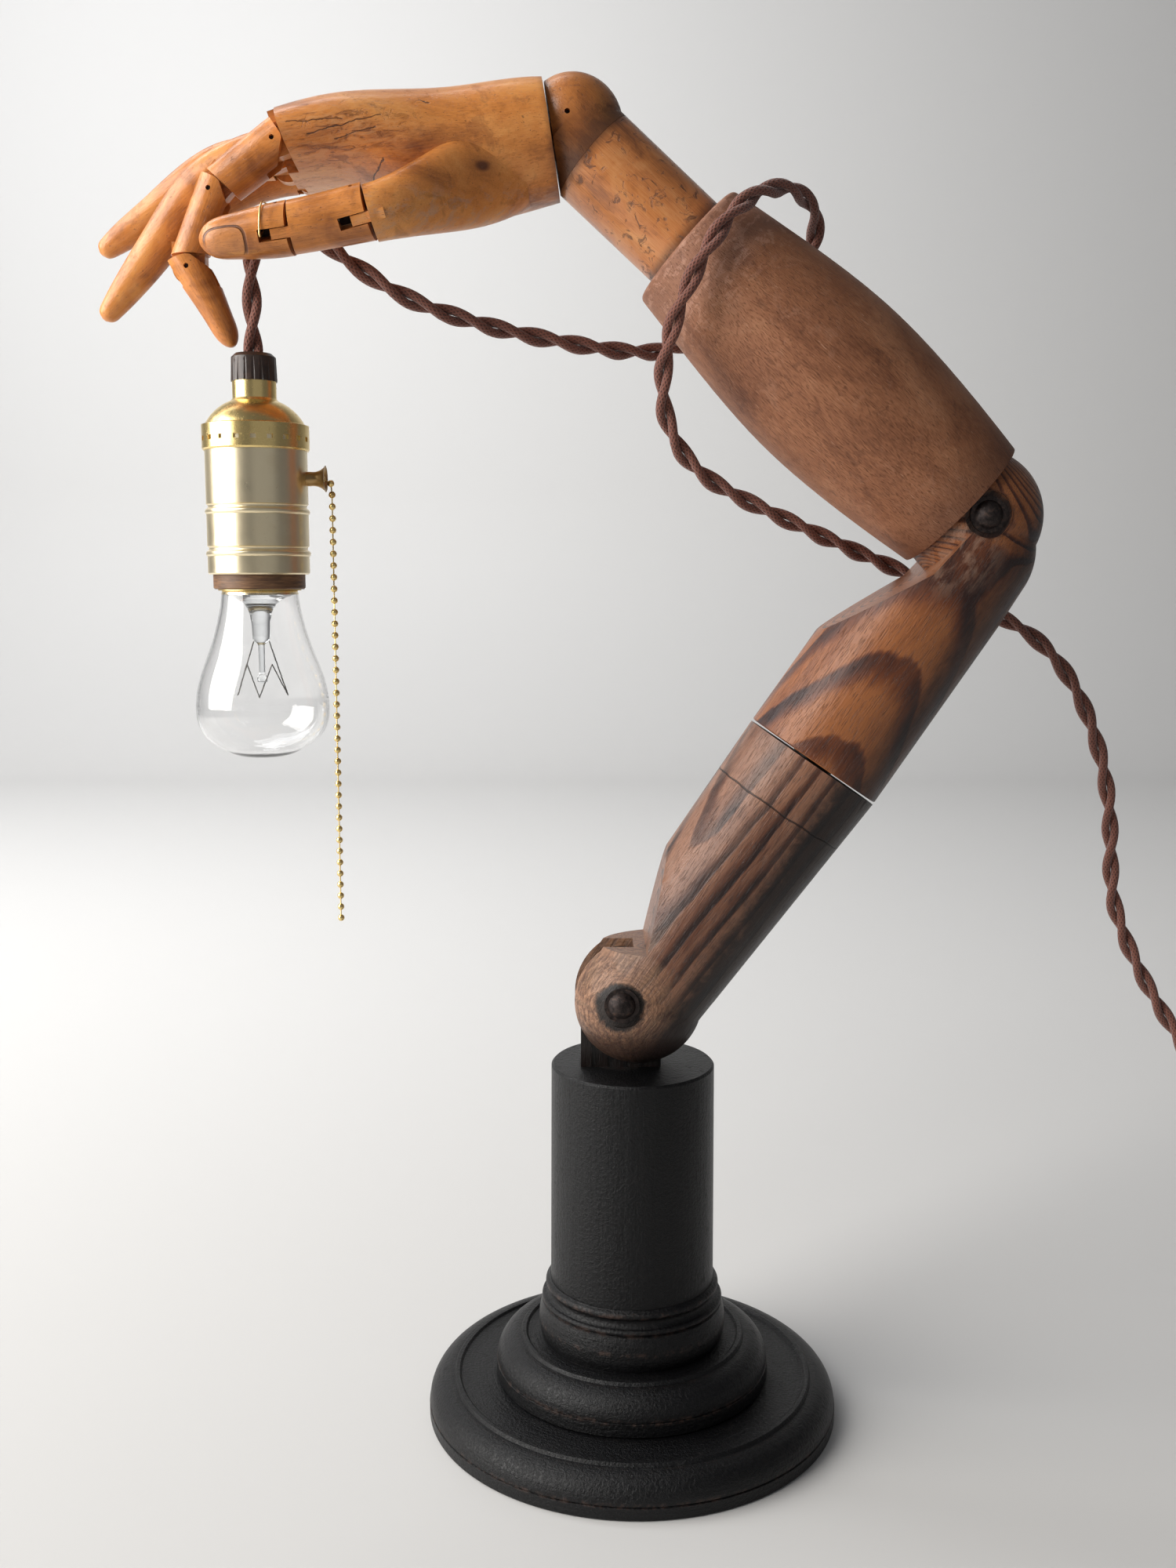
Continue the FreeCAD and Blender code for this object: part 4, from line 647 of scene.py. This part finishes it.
def new_object(name, mesh):
    piece = bpy.data.objects.new(name, mesh)
    bpy.context.scene.collection.objects.link(piece)
    return piece


def smooth_by_angle(bm, degrees):
    """Smooth faces with sharp edges where they meet at more than an angle."""
    for face in bm.faces:
        face.smooth = True
    for edge in bm.edges:
        sharp = len(edge.link_faces) != 2 or edge.calc_face_angle(0.0) > math.radians(degrees)
        edge.smooth = not sharp


def finished(name, bm, material, body, degrees=32.0):
    """Object from a mesh in place, with its normals outwards and its finish on."""
    bmesh.ops.recalc_face_normals(bm, faces=bm.faces)
    smooth_by_angle(bm, degrees)
    mesh = bpy.data.meshes.new(name)
    bm.to_mesh(mesh)
    bm.free()
    mesh.materials.append(material)
    piece = new_object(name, mesh)
    if body:
        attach(piece, body)
    return piece


def body_of_node(node):
    bodies = frame["record"]["behaviour"]["bodies"]
    return next(body for body, nodes in bodies.items() if node in nodes)


def pivot_of(name):
    """A joint's place in metres and its axis."""
    joint = next(joint for joint in frame["record"]["behaviour"]["joints"] if joint["name"] == name)
    return Vector(joint["pos_m"]), Vector(joint["axis"]).normalized()


def dressed(node, material, degrees=32.0, edge=0.0):
    """Smooth copy of a CAD piece in its place, with its finish, that stands for it."""
    bm = bmesh.new()
    bm.from_mesh(frame["nodes"][node].data)
    bmesh.ops.remove_doubles(bm, verts=bm.verts, dist=2e-6)
    bmesh.ops.dissolve_degenerate(bm, edges=bm.edges, dist=2e-6)
    piece = finished(node + "_finish", bm, material, body_of_node(node), degrees)
    if edge:
        round_off = piece.modifiers.new("edge", "BEVEL")
        round_off.width = edge
        round_off.segments = 2
        round_off.limit_method = "ANGLE"
        round_off.angle_limit = math.radians(40)
        round_off.harden_normals = True
    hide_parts(node)
    return piece


def smooth_line(points):
    """Points along a smooth line with these control points, close together."""
    curve = bpy.data.curves.new("line", "CURVE")
    curve.dimensions = "3D"
    curve.resolution_u = 10
    spline = curve.splines.new("NURBS")
    spline.points.add(len(points) - 1)
    for point, place in zip(spline.points, points):
        point.co = (*place, 1.0)
    spline.order_u = 3
    spline.use_endpoint_u = True
    holder = new_object("line", curve)
    bpy.context.view_layer.update()
    mesh = bpy.data.meshes.new_from_object(holder.evaluated_get(bpy.context.evaluated_depsgraph_get()))
    line = np.array([v.co for v in mesh.vertices], float)
    bpy.data.objects.remove(holder)
    return line


def evenly(line, step):
    """The line's points again, a step apart."""
    gaps = np.linalg.norm(np.diff(line, axis=0), axis=1)
    along = np.concatenate([[0.0], np.cumsum(gaps)])
    count = max(2, int(round(along[-1] / step)) + 1)
    wanted = np.linspace(0.0, along[-1], count)
    return np.stack([np.interp(wanted, along, line[:, i]) for i in range(3)], axis=1)


def carried_frames(line):
    """Two directions across the line at each point, turned as little as possible on the way."""
    ahead = np.gradient(line, axis=0)
    ahead /= np.linalg.norm(ahead, axis=1)[:, None]
    side = np.cross(ahead[0], (0.0, 1.0, 0.0))
    side /= np.linalg.norm(side)
    sides = []
    for way in ahead:
        side = side - way * (side @ way)
        side /= np.linalg.norm(side)
        sides.append(side)
    sides = np.array(sides)
    return sides, np.cross(ahead, sides)


def strand_mesh(line, radius, start):
    """Round tube along a line, with the way round and the way along it kept for the braid."""
    curve = bpy.data.curves.new("strand", "CURVE")
    curve.dimensions = "3D"
    curve.bevel_depth = radius
    curve.bevel_resolution = 2
    curve.use_fill_caps = True
    spline = curve.splines.new("POLY")
    spline.points.add(len(line) - 1)
    for point, place in zip(spline.points, line):
        point.co = (*place, 1.0)
    holder = new_object("strand", curve)
    bpy.context.view_layer.update()
    mesh = bpy.data.meshes.new_from_object(holder.evaluated_get(bpy.context.evaluated_depsgraph_get()))
    bpy.data.objects.remove(holder)
    points = np.array([v.co for v in mesh.vertices], float)
    step = np.linalg.norm(line[1] - line[0])
    nearest = np.argmin(((points[:, None, :] - line[None, :, :]) ** 2).sum(axis=2), axis=1)
    sides, ups = carried_frames(line)
    out = points - line[nearest]
    across, up = (out * sides[nearest]).sum(axis=1), (out * ups[nearest]).sum(axis=1)
    braid = np.stack([across / radius, up / radius, start + nearest * step], axis=1)
    attribute = mesh.attributes.new("braid", "FLOAT_VECTOR", "POINT")
    attribute.data.foreach_set("vector", braid.astype(np.float32).ravel())
    return mesh


# ---- operators --------------------------------------------------------------------------------------


class ARMLAMP_OT_stage(bpy.types.Operator):
    """Pale floor, soft light and the camera"""

    bl_idname = "armlamp.stage"
    bl_label = "Stage"

    def execute(self, context):
        scene = context.scene
        bm = bmesh.new()
        bmesh.ops.create_grid(bm, x_segments=1, y_segments=1, size=4.0)
        for vert in bm.verts:
            vert.co.y -= 2.2
        back = [edge for edge in bm.edges if all(vert.co.y > 0.0 for vert in edge.verts)]
        for rise in range(9):
            angle = math.radians(10 + 10 * rise)
            reach = 3.0 if rise == 8 else 0.09
            raised = bmesh.ops.extrude_edge_only(bm, edges=back)["geom"]
            verts = [item for item in raised if isinstance(item, bmesh.types.BMVert)]
            way = (0.0, math.cos(angle) * reach, math.sin(angle) * reach)
            bmesh.ops.translate(bm, verts=verts, vec=way)
            back = [item for item in raised if isinstance(item, bmesh.types.BMEdge)]
        paint = Paint("studio_floor")
        cloud = paint.noise(60.0, (1.0, 1.0, 1.0), 3.0, 0.5, 0.0, 1.0)
        base = paint.mix(cloud * 0.06, colours().floor, tone(210, 209, 207))
        floor = finished("floor", bm, paint.finish(base, 0.6), None)
        floor.data.flip_normals()
        middle = (-0.02, 0.0, 0.27)
        self.add_light(scene, "window", (-1.25, -0.45, 0.85), middle, 1.4, 41.0, (1.0, 0.98, 0.95))
        self.add_light(scene, "wall", (-0.9, 0.75, 1.5), (-0.4, 2.2, 0.5), 1.6, 33.0, (0.97, 0.98, 1.0))
        self.add_light(scene, "fill", (0.7, -1.5, 0.9), (0.0, 0.0, 0.2), 1.8, 1.5, (1.0, 0.99, 0.98))
        world = bpy.data.worlds.new("studio")
        world.use_nodes = True
        world.node_tree.nodes["Background"].inputs[0].default_value = (0.92, 0.94, 1.0, 1.0)
        world.node_tree.nodes["Background"].inputs[1].default_value = 0.14
        scene.world = world
        scene.view_settings.view_transform = "Standard"
        camera = bpy.data.objects.new("camera", bpy.data.cameras.new("camera"))
        scene.collection.objects.link(camera)
        camera.location = CAMERA_PLACE
        camera.rotation_euler = (math.radians(90 - CAMERA_DIP), 0.0, 0.0)
        camera.data.sensor_width = 36.0
        camera.data.sensor_fit = "AUTO"
        camera.data.lens = CAMERA_LENS
        camera.data.clip_start = 0.01
        scene.camera = camera
        return {"FINISHED"}

    def add_light(self, scene, name, place, target, wide, power, tint):
        data = bpy.data.lights.new(name, "AREA")
        data.shape = "SQUARE"
        data.size = wide
        data.energy = power
        data.color = tint
        light = bpy.data.objects.new(name, data)
        light.location = place
        light.rotation_euler = (Vector(target) - Vector(place)).to_track_quat("-Z", "Y").to_euler()
        scene.collection.objects.link(light)


class ARMLAMP_OT_cord(bpy.types.Operator):
    """Twisted pair of cloth-covered wires, with the coil that ends it"""

    bl_idname = "armlamp.cord"
    bl_label = "Cord"

    def execute(self, context):
        s = sizes()
        route = [Vector(point) * MM for point in CORD_ROUTE]
        route += self.coil(s, route[-1])
        line = evenly(smooth_line(route), CORD_STEP)
        rising = line[:60, 2]
        breaks = {0: 0, 1: int(np.argmin(np.abs(rising - DROP_TOP))), LAST: len(line) - 1}
        # Every break lies in these points, ahead of the coil's lower turns.
        searched = line[:900]
        for index in sorted({index for piece in CORD_PIECES for index in piece[1:3]} - set(breaks)):
            middle = np.array((route[index] + route[index + 1]) / 2)
            breaks[index] = int(np.argmin(((searched - middle) ** 2).sum(axis=1)))
        sides, ups = carried_frames(line)
        step = np.linalg.norm(line[1] - line[0])
        turn = 2 * math.pi * np.arange(len(line)) * step / s.twist
        out = sides * np.cos(turn)[:, None] + ups * np.sin(turn)[:, None]
        strands = [line + out * s.strand_offset, line - out * s.strand_offset]
        material = braided_cloth("braided_cloth")
        pieces = {}
        for name, first, last, bodies, nodes in CORD_PIECES:
            start, end = breaks[first], breaks[last]
            bm = bmesh.new()
            for strand in strands:
                bm.from_mesh(strand_mesh(strand[start : end + 1], s.strand_radius, start * step))
            bmesh.ops.remove_doubles(bm, verts=bm.verts, dist=1e-7)
            piece = finished(name, bm, material, bodies[0] if len(bodies) == 1 else None, 60.0)
            if len(bodies) == 2:
                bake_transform(piece)
            if nodes:
                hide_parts(*nodes)
            pieces[name] = (piece, line[start : end + 1])
        self.declare(pieces)
        return {"FINISHED"}

    def coil(self, s, top):
        """Points of the turns from the cord's end on top down to the table, and the way to the plug."""
        centre = Vector((top.x, top.y - s.coil_radius, 0.0))
        per_turn = 14
        count = int(s.coil_turns * per_turn)
        # Height of the middle of the pair when it lies on the table.
        low = 0.00335
        points = []
        for i in range(1, count + 1):
            angle = math.pi / 2 - 2 * math.pi * i / per_turn
            height = top.z + (low - top.z) * i / count
            reach = s.coil_radius / math.cos(math.pi / per_turn) ** 0.5
            points.append(centre + Vector((reach * math.cos(angle), reach * math.sin(angle), height)))
        points.append(Vector((centre.x - 0.016, centre.y - s.coil_radius, low)))
        points.append(Vector((centre.x - 0.026, centre.y - s.coil_radius, low + 0.0003)))
        return points

    def declare(self, pieces):
        """Dresses the plug that goes with the cord."""
        dressed("plug_body", moulded_plastic("moulded_plastic"), 30.0)
        dressed("plug_blades", brass("blade_brass", colours().pale_brass, 0.3, 0.2), 30.0, 0.0002)


class ARMLAMP_OT_base(bpy.types.Operator):
    """Black turned base and column"""

    bl_idname = "armlamp.base"
    bl_label = "Base"

    def execute(self, context):
        for node in ("base_disc", "base_step"):
            dressed(node, base_paint(node + "_paint", False), 30.0, sizes().edge * 0.6)
        dressed("column", base_paint("column_paint", True), 30.0, sizes().edge * 0.5)
        return {"FINISHED"}


class ARMLAMP_OT_upper_arm(bpy.types.Operator):
    """Both halves of the upper arm with the tongue and dowel"""

    bl_idname = "armlamp.upper_arm"
    bl_label = "Upper arm"

    def execute(self, context):
        c = colours()
        centre = (63.9, 0.0, 243.7)
        edge = sizes().edge
        shades = (tone(134, 94, 72), tone(90, 55, 39), tone(34, 18, 15))
        rings = (-5.0, 8.0, 2.3, 3.4, -0.055)
        lower = arm_wood("lower_arm_wood", centre, ARM_HEADING, shades, rings, lower_arm_marks)
        shades = (c.arm_light, c.arm_mid, c.arm_dark)
        rings = (-3.0, 0.0, 1.5, 2.0, 0.048)
        upper = arm_wood("upper_arm_wood", centre, ARM_HEADING, shades, rings, upper_arm_marks)
        # Near-black finish of the shoulder tongue and dowel: painted shade, for they sit in the shadow under
        # the shoulder ball.
        shades = (tone(26, 18, 15), tone(17, 12, 10), tone(10, 8, 7))
        tongue = arm_wood("tongue_painted_shade", centre, 90.0, shades, (20.0, 12.0, 6.0, 8.0, 0.02))
        dressed("lower_arm", lower, 30.0, edge)
        dressed("upper_arm", upper, 30.0, edge)
        dressed("shoulder_tongue", tongue, 30.0, edge)
        dressed("arm_dowel", tongue, 30.0)
        return {"FINISHED"}


class ARMLAMP_OT_forearm(bpy.types.Operator):
    """Forearm sleeve, elbow tongue and wrist"""

    bl_idname = "armlamp.forearm"
    bl_label = "Forearm"

    def execute(self, context):
        edge = sizes().edge
        elbow = (118.2, 0.0, 329.8)
        sleeve = sleeve_wood("sleeve_wood", elbow, FOREARM_HEADING)
        dressed("forearm", sleeve, 30.0, edge)
        dressed("elbow_tongue", sleeve, 30.0, edge)
        dressed("wrist_shaft", self.shaft_wood(elbow), 30.0)
        wrist = (-21.5, 0.0, 460.4)
        knuckle = hand_wood("knuckle_wood", wrist, FOREARM_HEADING, 1.6, self.knuckle_marks)
        dressed("wrist_knuckle", knuckle, 30.0)
        return {"FINISHED"}

    def knuckle_marks(self, paint):
        rough = paint.noise(4.0, (1.0, 1.0, 1.0), 5.0, 0.7, 0.4, 3.0)
        yield 0.45, tone(126, 74, 40), 0.0
        # Dirt and painted shade: darker at the end where the knuckle meets the shaft.
        yield (1 - (paint.x + rough * 10.0).step(-6.0, 4.0)) * 0.8, tone(66, 38, 24), 0.0
        yield rough.step(0.55, 0.66) * 0.45, tone(78, 44, 26), 0.3

    def shaft_wood(self, elbow):
        """Honey-coloured wood, stained where it was handled."""
        c = colours()
        paint = Paint("shaft_wood", elbow, FOREARM_HEADING)
        fine = streaks(paint, 0.36, 18.0, 4.0)
        cloud = paint.noise(12.0, (1.6, 1.0, 1.0), 5.0, 0.62, 0.7, 8.0)
        stain = paint.noise(4.2, (1.0, 1.0, 1.0), 6.0, 0.72, 0.8, 19.0).step(0.55, 0.64)
        tint = fine * 0.3 + cloud * 0.75
        base = paint.ramp(tint, ((0.32, tone(112, 64, 36)), (0.52, c.shaft), (0.78, tone(216, 156, 100))))
        base = paint.mix(stain * 0.70, base, tone(64, 36, 24))
        # Painted shade: darker at both ends, where the shaft goes into the sleeve and the knuckle.
        ends = (1 - paint.x.step(136.5, 141.0)) + paint.x.step(176.0, 180.5)
        base = paint.mix(ends * 0.7, base, tone(52, 30, 20))
        paint.bump(fine * 0.3 + cloud * 0.4 - stain * 0.3, 0.28)
        return paint.finish(base, 0.26 + cloud * 0.12 + stain * 0.2, Coat_Weight=0.35, Coat_Roughness=0.18)


class ARMLAMP_OT_hand(bpy.types.Operator):
    """Palm, fingers and thumb"""

    bl_idname = "armlamp.hand"
    bl_label = "Hand"

    def execute(self, context):
        face = (-28.4, 0.0, 455.7)
        dressed("palm", hand_wood("palm_wood", face, HAND_HEADING, 1.0, palm_marks), 34.0)
        headings = {
            "index_proximal": 216.0, "index_middle": 246.0, "index_distal": 297.0, "middle_finger": 222.0,
            "ring_finger": 212.0, "little_finger": 205.0, "thumb_proximal": 190.0,
        }
        for node, heading in headings.items():
            centre = middle_of(node) / MM
            dressed(node, hand_wood(node + "_wood", centre, heading, 0.8), 34.0)
        centre = (-127.0, -36.0, 417.3)
        nail = nail_marks(4.7, 3.3, 7.0, 5.0, -3.0)
        dressed("thumb_distal", hand_wood("thumb_distal_wood", centre, 186.0, 0.8, nail), 34.0)
        # The dark blocks in the thumb's slots are painted shade.
        stained = painted_shade_wood("slot_painted_shade_wood")
        self.slot_plug("thumb_base_shade_plug", "thumb_base_joint", "thumb_proximal", 195.5, stained)
        self.slot_plug("thumb_tip_shade_plug", "thumb_tip_joint", "thumb_distal", 188.0, stained)
        return {"FINISHED"}

    def slot_plug(self, name, joint, body, facing, material):
        """Dark block deep in the open end of a slot of the thumb, past the tongue's end, that paints the
        shade in the slot.
        """
        pivot, axis = pivot_of(joint)
        ahead = Vector((math.cos(math.radians(facing)), 0.0, math.sin(math.radians(facing))))
        turn = Matrix((ahead, ahead.cross(axis), axis)).transposed().to_4x4()
        bm = bmesh.new()
        bmesh.ops.create_cube(bm, size=1.0)
        bmesh.ops.bevel(
            bm, geom=bm.edges[:], offset=0.06, segments=2, profile=0.5, affect="EDGES", material=-1,
        )
        bmesh.ops.scale(bm, verts=bm.verts, vec=PLUG_SIZE)
        matrix = Matrix.Translation(pivot + ahead * PLUG_REACH) @ turn
        bmesh.ops.transform(bm, verts=bm.verts, matrix=matrix)
        piece = finished(name, bm, material, body)


class ARMLAMP_OT_hardware(bpy.types.Operator):
    """Bolts, nuts, nail pins and the wire round the thumb"""

    bl_idname = "armlamp.hardware"
    bl_label = "Hardware"

    def execute(self, context):
        steel = dark_steel("dark_steel")
        for node in ("shoulder_bolt", "shoulder_nut", "elbow_bolt", "elbow_nut"):
            dressed(node, steel, 34.0, 0.0002)
        pins = [node for node in frame["nodes"] if node.endswith("_pin")]
        for node in sorted(pins):
            dressed(node, steel, 40.0)
        dressed("thumb_wire", brass("wire_brass", colours().brass, 0.25, 0.4), 50.0)
        return {"FINISHED"}


class ARMLAMP_OT_socket(bpy.types.Operator):
    """Grip, brass socket and its liner"""

    bl_idname = "armlamp.socket"
    bl_label = "Socket"

    def execute(self, context):
        c = colours()
        dressed("cord_grip", bakelite("grip_bakelite"), 30.0, 0.0002)
        dressed("socket_cap", brass("cap_brass", c.brass, 0.20, 0.30), 30.0)
        dressed("socket_shell", brass("shell_brass", c.pale_brass, 0.24, 0.22), 30.0)
        dressed("socket_rim", fibre("liner_fibre"), 30.0)
        dressed("socket_screw", brass("screw_brass", c.brass, 0.3, 0.5), 30.0)
        dressed("switch_body", bakelite("switch_bakelite"), 30.0)
        dressed("chain_guide", brass("guide_brass", c.old_brass, 0.30, 0.5), 34.0)
        return {"FINISHED"}


class ARMLAMP_OT_bulb(bpy.types.Operator):
    """Clear pear bulb with its stem and filament"""

    bl_idname = "armlamp.bulb"
    bl_label = "Bulb"

    def execute(self, context):
        glass = clear_glass("bulb_glass_clear", (1.0, 1.0, 1.0), 0.0)
        dressed("bulb_glass", glass, 50.0)
        dressed("bulb_stem", clear_glass("stem_glass_clear", (0.95, 0.97, 0.98), 0.03), 50.0)
        dressed("filament", tungsten("tungsten"), 50.0)
        dressed("bulb_cap", brass("bulb_cap_brass", colours().pale_brass, 0.2, 0.3), 30.0)
        return {"FINISHED"}


class ARMLAMP_OT_chain(bpy.types.Operator):
    """Ball chain of the switch"""

    bl_idname = "armlamp.chain"
    bl_label = "Pull chain"

    def execute(self, context):
        s = sizes()
        metal = brass("chain_brass", colours().brass, 0.2, 0.55)
        low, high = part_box("pull_chain")
        top = Vector(((low.x + high.x) / 2, (low.y + high.y) / 2, high.z - s.bead / 2))
        places = [top - Vector((0.0, 0.0, i * s.bead_pitch)) for i in range(s.beads)]
        hanging = self.chain(s, "hanging_chain", places, metal)
        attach(hanging, "pull_chain")
        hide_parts("pull_chain")
        low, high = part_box("chain_lead")
        middle = (low.y + high.y) / 2
        level = high.z - s.bead / 2
        first = low.x + s.bead / 2
        places = [
            Vector((first, middle, level)), Vector((first + s.bead_pitch, middle, level)),
            Vector((high.x - s.bead / 2, middle, level - 0.0015)), top,
        ]
        lead = self.chain(s, "leading_chain", places, metal)
        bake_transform(lead)
        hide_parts("chain_lead")
        return {"FINISHED"}

    def chain(self, s, name, places, metal):
        """Balls at the places, joined by short links."""
        bm = bmesh.new()
        for place in places:
            matrix = Matrix.Translation(place)
            bmesh.ops.create_uvsphere(bm, u_segments=12, v_segments=8, radius=s.bead / 2, matrix=matrix)
        for start, end in zip(places, places[1:]):
            way = end - start
            turn = way.to_track_quat("Z", "Y").to_matrix().to_4x4()
            matrix = Matrix.Translation((start + end) / 2) @ turn
            bmesh.ops.create_cone(
                bm, cap_ends=True, segments=6, radius1=s.link, radius2=s.link, depth=way.length, matrix=matrix
            )
        return finished(name, bm, metal, None, 50.0)


class ARMLAMP_PT_panel(bpy.types.Panel):
    """Lists the sizes, the colours and the pieces"""

    bl_idname = "ARMLAMP_PT_panel"
    bl_label = "Arm Lamp"
    bl_space_type = "VIEW_3D"
    bl_region_type = "UI"
    bl_category = "Arm Lamp"

    def draw(self, context):
        for group in (context.scene.arm_lamp_sizes, context.scene.arm_lamp_colours):
            box = self.layout.box()
            for name in group.bl_rna.properties.keys():
                if name not in ("rna_type", "name"):
                    box.prop(group, name)
        for operator in OPERATORS:
            self.layout.operator(operator.bl_idname)


OPERATORS = (
    ARMLAMP_OT_stage, ARMLAMP_OT_cord, ARMLAMP_OT_base, ARMLAMP_OT_upper_arm, ARMLAMP_OT_forearm,
    ARMLAMP_OT_hand, ARMLAMP_OT_hardware, ARMLAMP_OT_socket, ARMLAMP_OT_bulb, ARMLAMP_OT_chain,
)
CLASSES = (ArmLampSizes, ArmLampColours, *OPERATORS, ARMLAMP_PT_panel)


def register():
    for item in CLASSES:
        bpy.utils.register_class(item)
    bpy.types.Scene.arm_lamp_sizes = PointerProperty(type=ArmLampSizes)
    bpy.types.Scene.arm_lamp_colours = PointerProperty(type=ArmLampColours)


def unregister():
    del bpy.types.Scene.arm_lamp_colours
    del bpy.types.Scene.arm_lamp_sizes
    for item in reversed(CLASSES):
        bpy.utils.unregister_class(item)


def main():
    """Makes every piece in order."""
    register()
    for operator in OPERATORS:
        group, name = operator.bl_idname.split(".")
        getattr(getattr(bpy.ops, group), name)()


if __name__ == "__main__":
    main()
